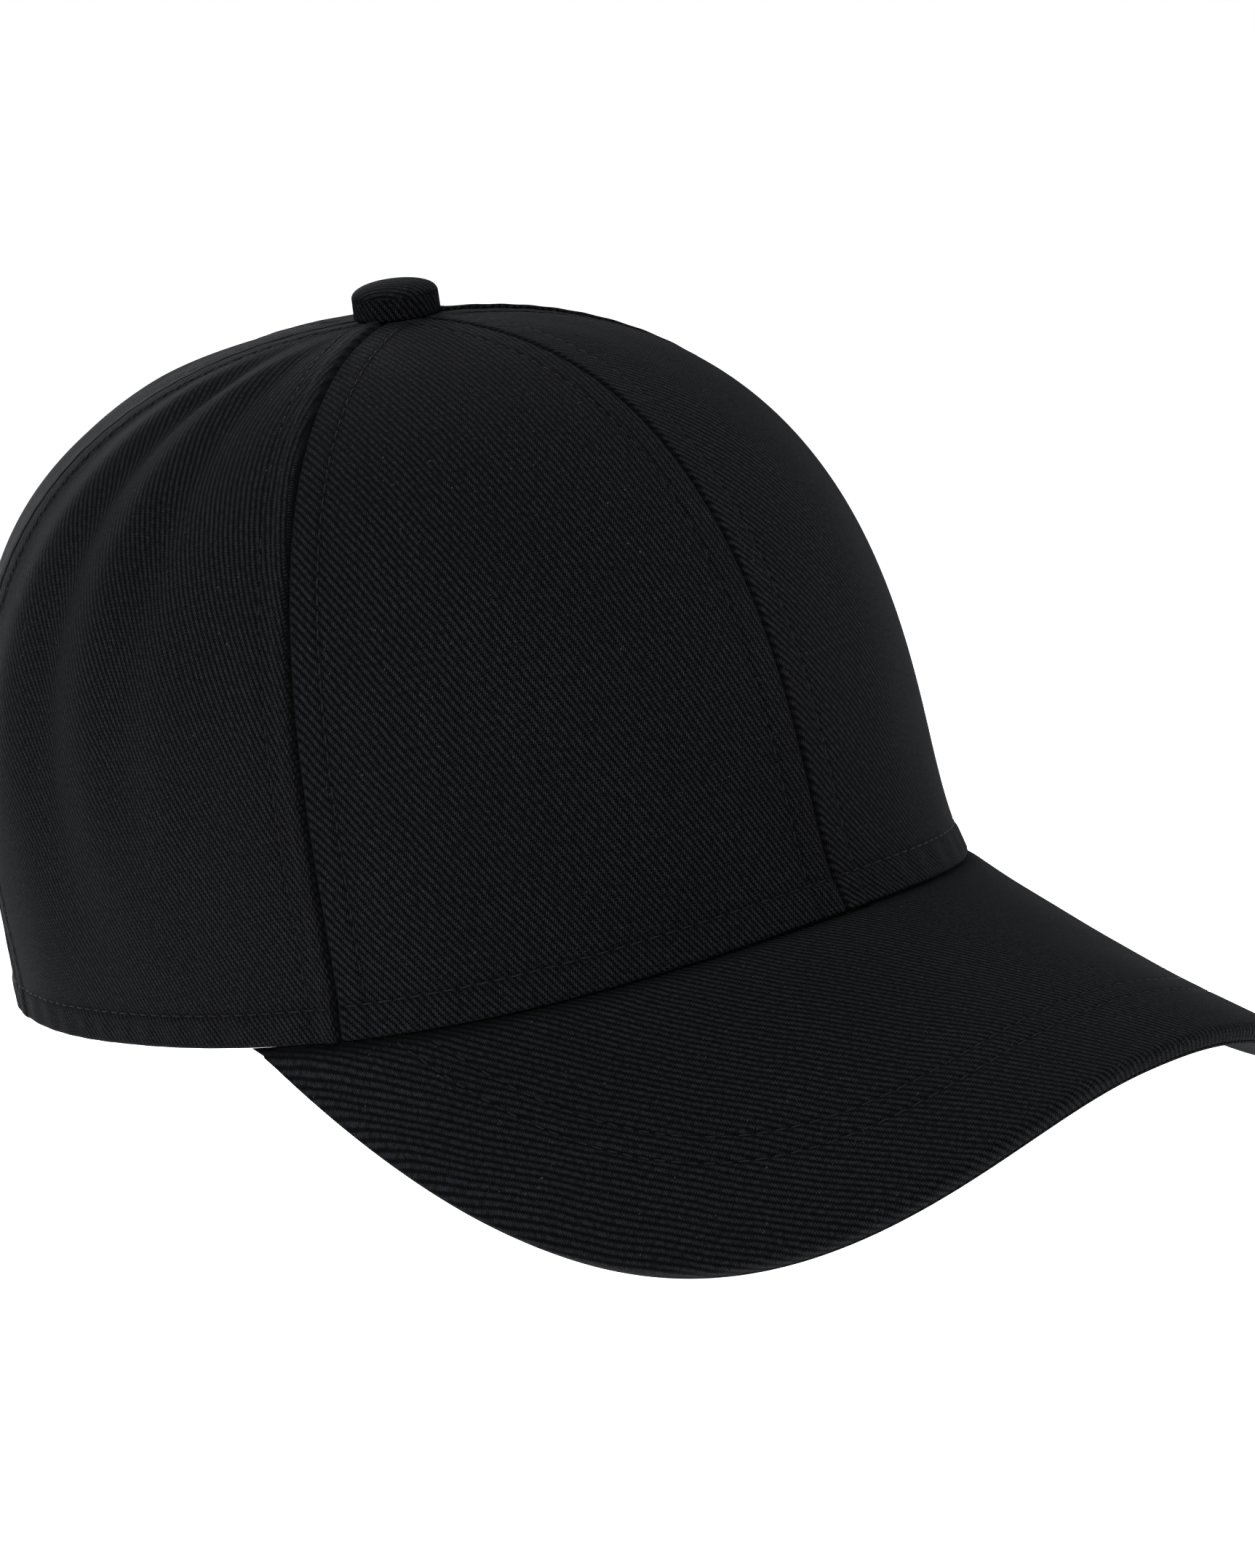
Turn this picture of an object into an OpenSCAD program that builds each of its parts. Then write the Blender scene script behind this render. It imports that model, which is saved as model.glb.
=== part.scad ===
// Six-panel baseball cap with a structured front, a curved brim, a covered button
// and a self-fabric strap with a flip-lock buckle across the arch at the back.
// Origin at the centre of the head opening, +Z up, brim towards -Y, wearer's right towards -X.
// An angle on the crown is measured from the front, positive towards the wearer's right.

/* [Crown] */
// Width of the crown at its rim, ear to ear
crown_width = 168; // [140:1:205]
// Reach of the rim in front of the widest line
crown_front = 102; // [85:0.5:125]
// Reach of the rim behind the widest line
crown_back = 100; // [84:0.5:121]
// Height of the crown's top above the head opening
crown_height = 118; // [98:1:144]
// How far the top sits in front of the widest line
top_forward = 10.5; // [0:0.5:20]
// Height given up by the crown in front of its top and gained behind it
crown_lean = 9.5; // [0:0.5:14]
// Roundness of the crown's side, as the power of the height
side_power = 3.3; // [2.2:0.1:4]
// Change of that power from the middle of the cap to its front
side_power_front = -0.45; // [-0.5:0.05:0.5]
// Roundness of the crown's top, as the power of the reach
top_power = 2.3; // [1.8:0.1:3]
// Change of that power from the middle of the cap to its front
top_power_front = -0.1; // [-0.5:0.05:0.5]
// Outward flare of the crown's edge over the brim
rim_flare = 4.8; // [0:0.1:5]
// Rise of the rim at the centre front
front_rise = 5.5; // [0:0.5:10]
// Dip of the rim beside the ears
side_dip = 1; // [0:0.5:4]

/* [Cloth] */
// Thickness of a crown panel
panel_t = 1; // [0.7:0.1:1.4]
// Thickness of the stiffener behind a front panel
buckram_t = 0.7; // [0.4:0.1:1]
// Width of the tape over a seam
tape_w = 12; // [9:0.5:16]
// Thickness of the tape over a seam
tape_t = 0.5; // [0.3:0.05:0.7]
// Width of the facing behind the edge of the rear arch
facing_w = 10; // [7:0.5:14]
// Thickness of that facing
facing_t = 0.6; // [0.4:0.1:0.8]
// Free gap between two layers of cloth
layer_gap = 0.3; // [0.2:0.05:0.5]

/* [Sweatband] */
// Height of the sweatband
band_h = 32; // [24:1:40]
// Thickness of the folded sweatband
band_t = 2.2; // [1.8:0.1:3]
// Thickness of the sweatband's cloth
band_cloth_t = 0.5; // [0.4:0.05:0.7]
// Gap between the crown's layers and the front of the sweatband
band_gap = 0.5; // [0.3:0.1:1]

/* [Brim] */
// Length of the brim in front of the crown
brim_length = 76; // [60:0.5:98]
// Angle on the crown where the brim ends
brim_end = 70.5; // [57:0.5:82]
// Squareness of the brim's outline
brim_square = 2.5; // [2:0.1:3]
// Bulge of the brim's outline beyond its ends
brim_bulge = 4.5; // [0:0.5:8]
// Fall of the brim at its middle, in degrees
brim_fall_mid = 14; // [0:0.5:20]
// Fall of the brim at its sides, in degrees
brim_fall_side = 40.5; // [20:0.5:52]
// How gently the fall starts to grow from the middle to the sides
brim_fall_ease = 0.3; // [0.1:0.02:1]
// Downward bow of the brim's front edge
brim_bow = 3.1; // [0:0.1:6]
// Thickness of the brim board
board_t = 2; // [1.4:0.1:3]
// Thickness of the brim's cloth covers
brim_cloth_t = 0.6; // [0.4:0.1:1]
// How far the brim is tucked in under the crown's edge
brim_tuck = 2.2; // [1:0.1:2.6]
// Gap between the brim and the crown's edge
brim_seat_gap = 0.15; // [0.1:0.05:0.4]

/* [Button] */
// Diameter of the covered button
button_d = 16.4; // [13:0.2:20]
// Height of the button's side
button_side = 4; // [3:0.1:6]
// Height of the button's dome above its side
button_dome = 2.8; // [1.5:0.1:4]
// Thickness of the button's cloth
button_cloth_t = 0.7; // [0.5:0.1:1]
// Thickness of the button's metal shell
button_shell_t = 0.6; // [0.4:0.1:1]
// Diameter of the rivet under the button
rivet_d = 2.4; // [1.8:0.1:3]
// Diameter of the washer inside the crown
washer_d = 14; // [11:0.5:18]
// Thickness of that washer
washer_t = 0.6; // [0.5:0.1:1]

/* [Rear arch and strap] */
// Width of the arch over the strap
arch_w = 80; // [66:1:96]
// Height of the arch above the rim
arch_h = 45; // [38:1:54]
// How much deeper the strap lies at the centre back than beside the arch
strap_sink = 1.8; // [1.4:0.1:2.4]
// Width of the strap
strap_w = 20; // [16:0.5:23]
// Thickness of the strap
strap_t = 1.2; // [0.8:0.1:1.6]
// Height of the strap's lower edge above the head opening
strap_z = 4; // [3:0.5:6]
// Length by which the strap can be drawn in
strap_draw = 26; // [10:0.5:32]
// Length of the strap's tail behind the panel beside the buckle
strap_tuck = 17; // [14:0.5:20]

/* [Buckle] */
// Length of the tab between the buckle and the arch's edge
tab_show = 8; // [7:0.5:12]
// Length of the buckle along the strap
buckle_length = 23; // [19:0.5:28]
// Thickness of the buckle's walls
buckle_wall = 1.2; // [0.9:0.1:1.5]
// Thickness of the buckle's base
buckle_base = 1; // [0.8:0.1:1.4]
// Gap between the strap and the buckle
strap_clear = 0.6; // [0.5:0.05:0.8]
// Diameter of the hinge pin
pin_d = 1.6; // [1.2:0.1:2]
// Running clearance around the hinge pin
pin_clear = 0.05; // [0.03:0.01:0.08]
// Thickness of the lever's plate
lever_t = 1.1; // [0.8:0.1:1.4]
// Gap between the lever and the buckle's walls
lever_gap = 0.5; // [0.4:0.05:0.7]
// Width of the bar that the tab is looped round
bar_w = 2; // [1.6:0.1:2.4]
// Thickness of the tab's cloth
tab_t = 0.8; // [0.6:0.1:0.9]

/* [Label] */
// Width of the blank label
label_w = 30; // [20:1:40]
// Height of the blank label
label_h = 18; // [12:1:24]
// Thickness of the label
label_t = 0.4; // [0.3:0.1:0.6]

/* [Hidden] */

$fn = 64;

cloth_colour = [0.10, 0.10, 0.11];
inner_colour = [0.16, 0.16, 0.17];
board_colour = [0.75, 0.74, 0.70];
metal_colour = [0.35, 0.35, 0.37];

panel_angle = 60;
panel_columns = 10;
crown_rows = 18;
row_crowding = 1.25;
flare_power = 14;
wall_part = 0.08;
half_width = crown_width / 2;

tape_depth = panel_t + buckram_t + layer_gap;
facing_depth = panel_t + layer_gap;
top_hole_r = rivet_d / 2 + 0.8;
tape_stop_r = 6 * tape_w / (2 * PI) + 2;
tape_start = 1;

arch_half_angle = asin(arch_w / crown_width);
arch_fraction = arch_h / crown_height;

band_front_depth = tape_depth + tape_t + band_gap;
strap_side_depth = facing_depth + facing_t + layer_gap + tab_t;
// The sink is drawn for an oval this much longer behind than it is half as wide; a rounder one needs less.
drawn_oval = 16;
strap_inset = strap_side_depth + lerp(2 * layer_gap, strap_sink, (crown_back - half_width) / drawn_oval);
band_back_depth = strap_side_depth + 1 + strap_t;
band_turn_start = 92;
band_turn_end = 118;
band_lift = 0.3;

// The strap's outer face runs on the arc through the centre back and two points beside the arch.
side_turn = 50;
side_normal = unit([sin(side_turn) / half_width, cos(side_turn) / crown_back]);
side_x = half_width * sin(side_turn) - strap_side_depth * side_normal.x;
side_fall = crown_back * (1 - cos(side_turn)) - strap_inset + strap_side_depth * side_normal.y;
strap_radius = (pow(side_fall, 2) + pow(side_x, 2)) / (2 * side_fall);
strap_axis_y = crown_back - strap_inset - strap_radius;
strap_inner_r = strap_radius - strap_t;
arch_foot_angle = asin(arch_w / 2 / strap_radius);
strap_root = arch_foot_angle + deg(strap_draw + 5, strap_radius);
strap_tail = arch_foot_angle + deg(strap_tuck, strap_radius);
arch_edge_x = half_width * sin(arch_half_angle * sqrt(1 - pow((strap_z + strap_w) / arch_h, 2)));
arch_edge_angle = asin(arch_edge_x / strap_radius);

base_outer_r = strap_inner_r - strap_clear;
base_inner_r = base_outer_r - buckle_base;
bar_inner_r = strap_radius + layer_gap + tab_t + 0.1;
bar_outer_r = bar_inner_r + 1.6;
buckle_end = arch_edge_angle - deg(tab_show, strap_radius);
buckle_start = buckle_end - deg(buckle_length, strap_radius);
bar_start = buckle_end - deg(bar_w, strap_radius);
wall_low_z = strap_z - strap_clear - buckle_wall;
wall_high_z = strap_z + strap_w + strap_clear;
pin_r = strap_radius + pin_d / 2 + 1.2;
pin_angle = buckle_start + deg(2.6, strap_radius);
barrel_r = pin_d / 2 + 0.7;
cam_r = barrel_r;
cam_offset = pin_r - cam_r - strap_radius - 0.3;
lug_r = pin_d / 2 + 1.2;
lever_z = wall_low_z + buckle_wall + lever_gap;
lever_w = wall_high_z - lever_gap - lever_z;
lever_end = bar_start - deg(tab_t + 1.4, strap_radius);
tab_z = strap_z + 1;
tab_w = strap_w - 2;
tab_root = arch_edge_angle + deg(14, strap_radius);

button_tilt = atan(2 * crown_lean / (crown_front + crown_back));
button_r = button_d / 2;
seat_lift = 0.2;

function deg(length, radius) = length / radius * 180 / PI;
function lerp(a, b, t) = a + (b - a) * t;
function unit(v) = v / norm(v);
function smooth(t) = t <= 0 ? 0 : t >= 1 ? 1 : t * t * (3 - 2 * t);
function polar(r, a, y0) = [r * sin(a), y0 + r * cos(a)];

// The crown: a point at angle a and at a share h of the height. The rim is an egg-shaped
// oval, and each profile closes in to the top as a superellipse.
function rim_z(a) = front_rise * pow(max(cos(a), 0), 4) - side_dip * pow(sin(a), 2);
function side_n(a) = side_power + side_power_front * cos(a);
function top_m(a) = top_power + top_power_front * cos(a);
function closing(a, h) = pow(max(1 - pow(h, side_n(a)), 0), 1 / top_m(a));
function flare(a, h) = rim_flare / crown_front * max(cos(a), 0) * pow(1 - h, flare_power);
function lean(a, f) = crown_lean * cos(a) * min(f, 1) * pow(1 - min(f, 1), 2);
function crown_at(a, h) =
    let (
        f = closing(a, h) + flare(a, h),
        reach = cos(a) > 0 ? crown_front : crown_back
    )
    [
        -half_width * sin(a) * f,
        -reach * cos(a) * f - top_forward * (1 - f),
        rim_z(a) + (crown_height - rim_z(a)) * h - lean(a, f)
    ];
function crown_normal(a, h) =
    let (
        dh = min(0.002, 0.2 * (1 - h)),
        up = crown_at(a, h + dh) - crown_at(a, max(h - dh, 0)),
        along = crown_at(a + 0.5, h) - crown_at(a - 0.5, h),
        n = unit(cross(up, along))
    )
    unit([n.x, n.y, n.z * min(h / wall_part, 1)]);
function crown_in(a, h, depth) = crown_at(a, h) - depth * crown_normal(a, h);
function share(a, height) = height / (crown_height - rim_z(a));
function share_at_radius(a, r) = pow(1 - pow(r / half_width, top_m(a)), 1 / side_n(a));

// The brim: a point at v across (-1 to 1) and s out from the crown's edge (0) to the outline (1).
function brim_root(v) = crown_at(v * brim_end, 0);
function brim_outline(v) =
    let (
        end = crown_at(brim_end, 0),
        reach = brim_length + crown_front + end.y,
        side = -end.x * pow(abs(sin(90 * v)), 2 / brim_square)
    )
    [
        -sign(v) * side - brim_bulge * sin(180 * v),
        end.y - reach * pow(cos(90 * v), 2 / brim_square)
    ];
function brim_reach(v) = norm(brim_outline(v) - [brim_root(v).x, brim_root(v).y]);
function eased(t) = sqrt(t * t + pow(brim_fall_ease, 2)) - brim_fall_ease;
function brim_fall(v) = lerp(brim_fall_mid, brim_fall_side, eased(sin(90 * v)) / eased(1));
function brim_at(v, s) =
    let (
        root = brim_root(v),
        edge = brim_outline(v),
        out = max(s, 0) * brim_reach(v),
        bow = brim_bow * pow(max(s, 0), 2) * brim_reach(v) / brim_length
    )
    [
        lerp(root.x, edge.x, s),
        lerp(root.y, edge.y, s),
        root.z - brim_seat_gap - out * tan(brim_fall(v)) - bow
    ];
function brim_normal(v, s) =
    let (
        dv = 0.004,
        ds = 0.01,
        low = max(min(v, 1 - dv) - dv, -1),
        high = min(max(v, dv - 1) + dv, 1),
        base = max(s, 0),
        across = brim_at(high, base) - brim_at(low, base),
        out = brim_at(v, base + ds) - brim_at(v, base)
    )
    unit(cross(across, out));
function brim_in(v, s, depth) = brim_at(v, s) - depth * brim_normal(v, s);

// Faces of a closed sheet between two grids of points, and of a closed ring swept along stations.
function halves(q) = [[q[0], q[1], q[2]], [q[0], q[2], q[3]]];
function flat(list) = [for (part = list) for (item = part) item];
function sheet_faces(rows, cols) =
    let (
        n = rows * cols,
        at = function (i, j) i * cols + j
    )
    flat([
        for (i = [0 : rows - 2], j = [0 : cols - 2])
            halves([at(i, j), at(i, j + 1), at(i + 1, j + 1), at(i + 1, j)]),
        for (i = [0 : rows - 2], j = [0 : cols - 2])
            halves([n + at(i, j), n + at(i + 1, j), n + at(i + 1, j + 1), n + at(i, j + 1)]),
        for (j = [0 : cols - 2])
            halves([at(0, j + 1), at(0, j), n + at(0, j), n + at(0, j + 1)]),
        for (j = [0 : cols - 2])
            let (i = rows - 1)
                halves([at(i, j), at(i, j + 1), n + at(i, j + 1), n + at(i, j)]),
        for (i = [0 : rows - 2])
            halves([at(i, 0), at(i + 1, 0), n + at(i + 1, 0), n + at(i, 0)]),
        for (i = [0 : rows - 2])
            let (j = cols - 1)
                    halves([at(i, j), n + at(i, j), n + at(i + 1, j), at(i + 1, j)])
    ]);

module sheet(outer, inner) {
    polyhedron(
        points = concat(flat(outer), flat(inner)),
        faces = sheet_faces(len(outer), len(outer[0]))
    );
}

// Rings run one way round their section, and caps lists the section's quads.
module swept(rings, caps) {
    k = len(rings[0]);
    last = (len(rings) - 1) * k;
    polyhedron(
        points = flat(rings),
        faces = flat([
            for (j = [0 : len(rings) - 2], i = [0 : k - 1])
                let (a = j * k + i, b = j * k + (i + 1) % k)
                    halves([a, b, b + k, a + k]),
            for (q = caps) halves([q[3], q[2], q[1], q[0]]),
            for (q = caps) halves([last + q[0], last + q[1], last + q[2], last + q[3]])
        ])
    );
}

// The rows stand closer together near the rim, where the edge flares.
function row_share(i) = pow(i / crown_rows, row_crowding);

// Rows of a crown layer at a depth, from a lower edge given per column to the button's hole.
function crown_grid(angles, starts, depth) = [
    for (i = [0 : crown_rows]) [
        for (j = [0 : len(angles) - 1])
            let (
                a = angles[j],
                top = share_at_radius(a, top_hole_r),
                h = sin(lerp(asin(starts[j]), asin(top), row_share(i)))
            )
            crown_in(a, h, depth)
    ]
];

module crown_layer(angles, starts, depth, thickness) {
    sheet(crown_grid(angles, starts, depth), crown_grid(angles, starts, depth + thickness));
}

function panel_angles(middle) = [
    for (j = [0 : panel_columns])
        middle - panel_angle / 2 + panel_angle * j / panel_columns
];

module plain_panel(middle, depth, thickness) {
    angles = panel_angles(middle);
    crown_layer(angles, [for (a = angles) 0], depth, thickness);
}

// A back panel: its lower edge follows the rim and then climbs the arch to the centre back.
function arch_share(off) = arch_fraction * sqrt(max(1 - pow(off / arch_half_angle, 2), 0));
widest_column = 8;
beside_arch = ceil((panel_angle - arch_half_angle) / widest_column);
back_offs = concat(
    [for (k = [0 : beside_arch - 1]) lerp(panel_angle, arch_half_angle, k / beside_arch)],
    [for (k = [0 : 8]) arch_half_angle * cos(90 * k / 8)]
);

module back_panel(side) {
    offs = side > 0 ? back_offs : [for (k = [len(back_offs) - 1 : -1 : 0]) back_offs[k]];
    angles = [for (off = offs) side * (180 - off)];
    starts = [for (off = offs) off >= arch_half_angle ? 0 : arch_share(off)];
    crown_layer(angles, starts, 0, panel_t);
}

// A tape along the seam at angle a, its edges half its width away on the surface.
function tape_grid(a, from_h, depth) = [
    for (i = [0 : crown_rows]) [
        for (j = [-1, 0, 1])
            let (
                top = share_at_radius(a, tape_stop_r),
                h = sin(lerp(asin(from_h), asin(top), row_share(i))),
                side = norm(crown_at(a + 0.5, h) - crown_at(a - 0.5, h))
            )
            crown_in(a + j * tape_w / 2 / side, h, depth)
    ]
];

module seam_tape(a, from_h) {
    sheet(tape_grid(a, from_h, tape_depth), tape_grid(a, from_h, tape_depth + tape_t));
}

module front_right_panel() {
    color(cloth_colour) plain_panel(panel_angle / 2, 0, panel_t);
}

module front_left_panel() {
    color(cloth_colour) plain_panel(-panel_angle / 2, 0, panel_t);
}

module side_right_panel() {
    color(cloth_colour) plain_panel(panel_angle * 1.5, 0, panel_t);
}

module side_left_panel() {
    color(cloth_colour) plain_panel(-panel_angle * 1.5, 0, panel_t);
}

module back_right_panel() {
    color(cloth_colour) back_panel(1);
}

module back_left_panel() {
    color(cloth_colour) back_panel(-1);
}

module front_right_buckram() {
    color(board_colour) plain_panel(panel_angle / 2, panel_t, buckram_t);
}

module front_left_buckram() {
    color(board_colour) plain_panel(-panel_angle / 2, panel_t, buckram_t);
}

module centre_front_tape() {
    color(inner_colour) seam_tape(0, share(0, tape_start));
}

module right_front_tape() {
    color(inner_colour) seam_tape(panel_angle, share(panel_angle, tape_start));
}

module left_front_tape() {
    color(inner_colour) seam_tape(-panel_angle, share(panel_angle, tape_start));
}

module right_side_tape() {
    color(inner_colour) seam_tape(2 * panel_angle, share(2 * panel_angle, tape_start));
}

module left_side_tape() {
    color(inner_colour) seam_tape(-2 * panel_angle, share(2 * panel_angle, tape_start));
}

module centre_back_tape() {
    color(inner_colour) seam_tape(180, share(180, arch_h + 2));
}

// The facing behind the arch: ovals in angle and height, from the arch's edge outwards.
module arch_facing() {
    steps = 28;
    wider = deg(facing_w, half_width);
    higher = facing_w / crown_height;
    grid = function (depth) [
        for (t = [0, 0.5, 1]) [
            for (k = [0 : steps])
                let (
                    turn = 180 * k / steps,
                    off = (arch_half_angle + 0.4 + t * wider) * cos(turn),
                    h = 0.008 + (arch_fraction + t * higher) * sin(turn)
                )
                crown_in(180 - off, h, depth)
        ]
    ];
    color(inner_colour) sheet(grid(facing_depth), grid(facing_depth + facing_t));
}

// The sweatband: a folded strip, open at its top, around the foam strip.
function band_depth(a) =
    lerp(band_front_depth, band_back_depth,
        smooth((abs(a) - band_turn_start) / (band_turn_end - band_turn_start)));
band_half = 180 - arch_half_angle;
band_stations = 64;
band_levels = [0, 0.16, 0.36, 0.64, 1];

function band_ring(a, section) = [
    for (p = section) crown_in(a, share(a, band_lift + p.y), band_depth(a) + p.x)
];

module sweatband() {
    c = band_cloth_t;
    ys = band_levels;
    n = len(ys);
    inner_h = band_h;
    outer_h = band_h - 2;
    section = concat(
        [for (y = ys) [band_t, y * inner_h]],
        [for (i = [n - 1 : -1 : 0]) [band_t - c, max(ys[i] * inner_h, c)]],
        [for (y = ys) [c, max(y * outer_h, c)]],
        [for (i = [n - 1 : -1 : 0]) [0, ys[i] * outer_h]]
    );
    caps = concat(
        [for (i = [0 : n - 2]) [i, i + 1, 2 * n - 2 - i, 2 * n - 1 - i]],
        [[0, 2 * n - 1, 2 * n, 4 * n - 1]],
        [for (i = [0 : n - 2]) [2 * n + i, 2 * n + i + 1, 4 * n - 2 - i, 4 * n - 1 - i]]
    );
    rings = [
        for (k = [0 : band_stations])
            band_ring(lerp(-band_half, band_half, k / band_stations), section)
    ];
    color(inner_colour) swept(rings, caps);
}

module sweatband_foam() {
    c = band_cloth_t + 0.15;
    ys = band_levels;
    n = len(ys);
    top = band_h - 3;
    section = concat(
        [for (y = ys) [band_t - c, lerp(c, top, y)]],
        [for (i = [n - 1 : -1 : 0]) [c, lerp(c, top, ys[i])]]
    );
    caps = [for (i = [0 : n - 2]) [i, i + 1, 2 * n - 2 - i, 2 * n - 1 - i]];
    rings = [
        for (k = [0 : band_stations])
            band_ring(lerp(0.5 - band_half, band_half - 0.5, k / band_stations), section)
    ];
    color(board_colour) swept(rings, caps);
}

// The brim: a stiff board between an upper cover, whose lip wraps the edge, and an under cover.
brim_columns = 44;
brim_steps = 7;
lip_t = 0.8;
board_v = [for (j = [0 : brim_columns]) lerp(-0.97, 0.97, j / brim_columns)];
cover_v = concat([-0.995], board_v, [0.995]);
board_depth = brim_cloth_t + 0.2;
under_depth = board_depth + board_t + 0.15;
board_inset = lip_t + 0.4;

function brim_grid(vs, inset, tuck, depth) = [
    for (i = [brim_steps : -1 : (tuck > 0 ? -1 : 0)]) [
        for (v = vs)
            let (reach = brim_reach(v))
            brim_in(v, i < 0 ? -tuck / reach : (1 - inset / reach) * i / brim_steps, depth)
    ]
];

module brim_board() {
    color(board_colour)
        sheet(
            brim_grid(board_v, board_inset, 0, board_depth),
            brim_grid(board_v, board_inset, 0, board_depth + board_t)
        );
}

module brim_top_cover() {
    lip = under_depth - 0.1;
    steps = brim_steps + 1;
    ring = function (v)
        let (reach = brim_reach(v), s_lip = 1 - lip_t / reach, s_in = -brim_tuck / reach)
        concat(
            [for (i = [0 : steps]) brim_in(v, i == 0 ? s_in : (i - 1) / brim_steps, 0)],
            [brim_in(v, 1, lip), brim_in(v, s_lip, lip)],
            [
                for (i = [steps : -1 : 0])
                    brim_in(v, i == 0 ? s_in : s_lip * (i - 1) / brim_steps, brim_cloth_t)
            ]
        );
    caps = concat(
        [for (i = [0 : steps - 1]) [i, i + 1, 2 * steps + 2 - i, 2 * steps + 3 - i]],
        [[steps, steps + 1, steps + 2, steps + 3]]
    );
    rings = [for (j = [len(cover_v) - 1 : -1 : 0]) ring(cover_v[j])];
    color(cloth_colour) swept(rings, caps);
}

module brim_under_cover() {
    color(cloth_colour)
        sheet(
            brim_grid(cover_v, 0, brim_tuck, under_depth),
            brim_grid(cover_v, 0, brim_tuck, under_depth + brim_cloth_t)
        );
}

// The button sits on the crown's top, square to the slope there.
module at_top() {
    translate([0, -top_forward, crown_height]) rotate([button_tilt, 0, 0]) children();
}

// Half section of a dome with a straight side: its outer radius, side height and dome height.
function dome_points(r, z0, side, dome) = [
    for (k = [0 : 10]) [r * cos(9 * k), z0 + side + dome * sin(9 * k)]
];

module cup(r, z0, side, dome, t) {
    outer = dome_points(r, z0, side, dome);
    inner = dome_points(r - t, z0, side, dome - t);
    rotate_extrude()
        polygon(concat([[r, z0]], outer, [for (k = [10 : -1 : 0]) inner[k]], [[r - t, z0]]));
}

module button_cover() {
    color(cloth_colour)
        at_top()
            difference() {
                union() {
                    cup(button_r, seat_lift, button_side, button_dome, button_cloth_t);
                    translate([0, 0, seat_lift])
                        cylinder(r = button_r - 0.3, h = button_cloth_t);
                }
                translate([0, 0, seat_lift - 1]) cylinder(r = button_r - 3, h = 3);
            }
}

module button_shell() {
    gap = 0.05;
    r = button_r - button_cloth_t - gap;
    z0 = seat_lift + button_cloth_t + gap;
    side = button_side - button_cloth_t - gap;
    color(metal_colour)
        at_top() cup(r, z0, side, button_dome - button_cloth_t - gap, button_shell_t);
}

module button_rivet() {
    head_z = seat_lift + button_cloth_t + 0.6;
    foot_z = -(panel_t + buckram_t + 3 * layer_gap + washer_t);
    color(metal_colour)
        at_top() {
            translate([0, 0, foot_z - 0.5]) cylinder(d = rivet_d, h = head_z - foot_z + 1);
            translate([0, 0, head_z]) cylinder(d = button_d - 4, h = 0.8);
            translate([0, 0, foot_z - 0.9]) cylinder(d = rivet_d + 1.6, h = 0.8);
        }
}

module button_washer() {
    z = -(panel_t + buckram_t + 3 * layer_gap + washer_t);
    color(metal_colour)
        at_top()
            difference() {
                translate([0, 0, z]) cylinder(d = washer_d, h = washer_t);
                translate([0, 0, z - 1]) cylinder(d = rivet_d + 0.1, h = washer_t + 2);
            }
}

// A curved bar about the strap's axis, between two angles from the centre back.
module arc_bar(r1, r2, z, h, from, to) {
    translate([0, strap_axis_y, z])
        rotate([0, 0, 90 - to])
            rotate_extrude(angle = to - from) translate([r1, 0]) square([r2 - r1, h]);
}

module at_pin() {
    p = polar(pin_r, pin_angle, strap_axis_y);
    translate([p.x, p.y, 0]) children();
}

module adjuster_strap() {
    color(cloth_colour)
        arc_bar(strap_inner_r, strap_radius, strap_z, strap_w, -strap_root, strap_tail);
}

// The tab: sewn behind the left back panel, folded round the buckle's bar and sewn to itself.
module buckle_tab() {
    inner_r = strap_radius + layer_gap;
    fold = bar_start - deg(0.1, strap_radius);
    tip = fold - deg(tab_t, strap_radius);
    over = bar_outer_r + 0.1;
    rejoin = buckle_end + deg(4, strap_radius);
    end = rejoin + deg(2, strap_radius);
    outer = concat(
        [for (k = [0 : 4]) polar(inner_r, lerp(tab_root, tip, k / 4), strap_axis_y)],
        [for (k = [0 : 3]) polar(over + tab_t, lerp(tip, buckle_end + 0.2, k / 3), strap_axis_y)],
        [for (a = [rejoin, end]) polar(inner_r + 2 * tab_t, a, strap_axis_y)],
        [polar(inner_r + tab_t, end + 0.1, strap_axis_y)],
        [polar(inner_r + tab_t, tab_root, strap_axis_y)]
    );
    hole = concat(
        [for (k = [0 : 3]) polar(inner_r + tab_t, lerp(rejoin - 1, fold, k / 3), strap_axis_y)],
        [for (k = [0 : 3]) polar(over, lerp(fold, buckle_end + 0.1, k / 3), strap_axis_y)]
    );
    color(cloth_colour)
        translate([0, 0, tab_z])
            linear_extrude(height = tab_w)
                difference() {
                    polygon(outer);
                    polygon(hole);
                }
}

module buckle_frame() {
    wall_outer_r = bar_outer_r + 0.3;
    frame_h = wall_high_z + buckle_wall - wall_low_z;
    color(metal_colour)
        difference() {
            union() {
                arc_bar(base_inner_r, base_outer_r, wall_low_z, frame_h, buckle_start, buckle_end);
                arc_bar(bar_inner_r, bar_outer_r, wall_low_z, frame_h, bar_start, buckle_end);
                for (z = [wall_low_z, wall_high_z]) {
                    arc_bar(base_inner_r, wall_outer_r, z, buckle_wall, buckle_start, buckle_end);
                    at_pin() translate([0, 0, z]) cylinder(r = lug_r, h = buckle_wall);
                }
            }
            at_pin() translate([0, 0, wall_low_z - 1]) cylinder(d = pin_d, h = frame_h + 2);
        }
}

module buckle_pin() {
    color(metal_colour)
        at_pin()
            translate([0, 0, wall_low_z])
                cylinder(d = pin_d, h = wall_high_z + buckle_wall - wall_low_z);
}

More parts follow.
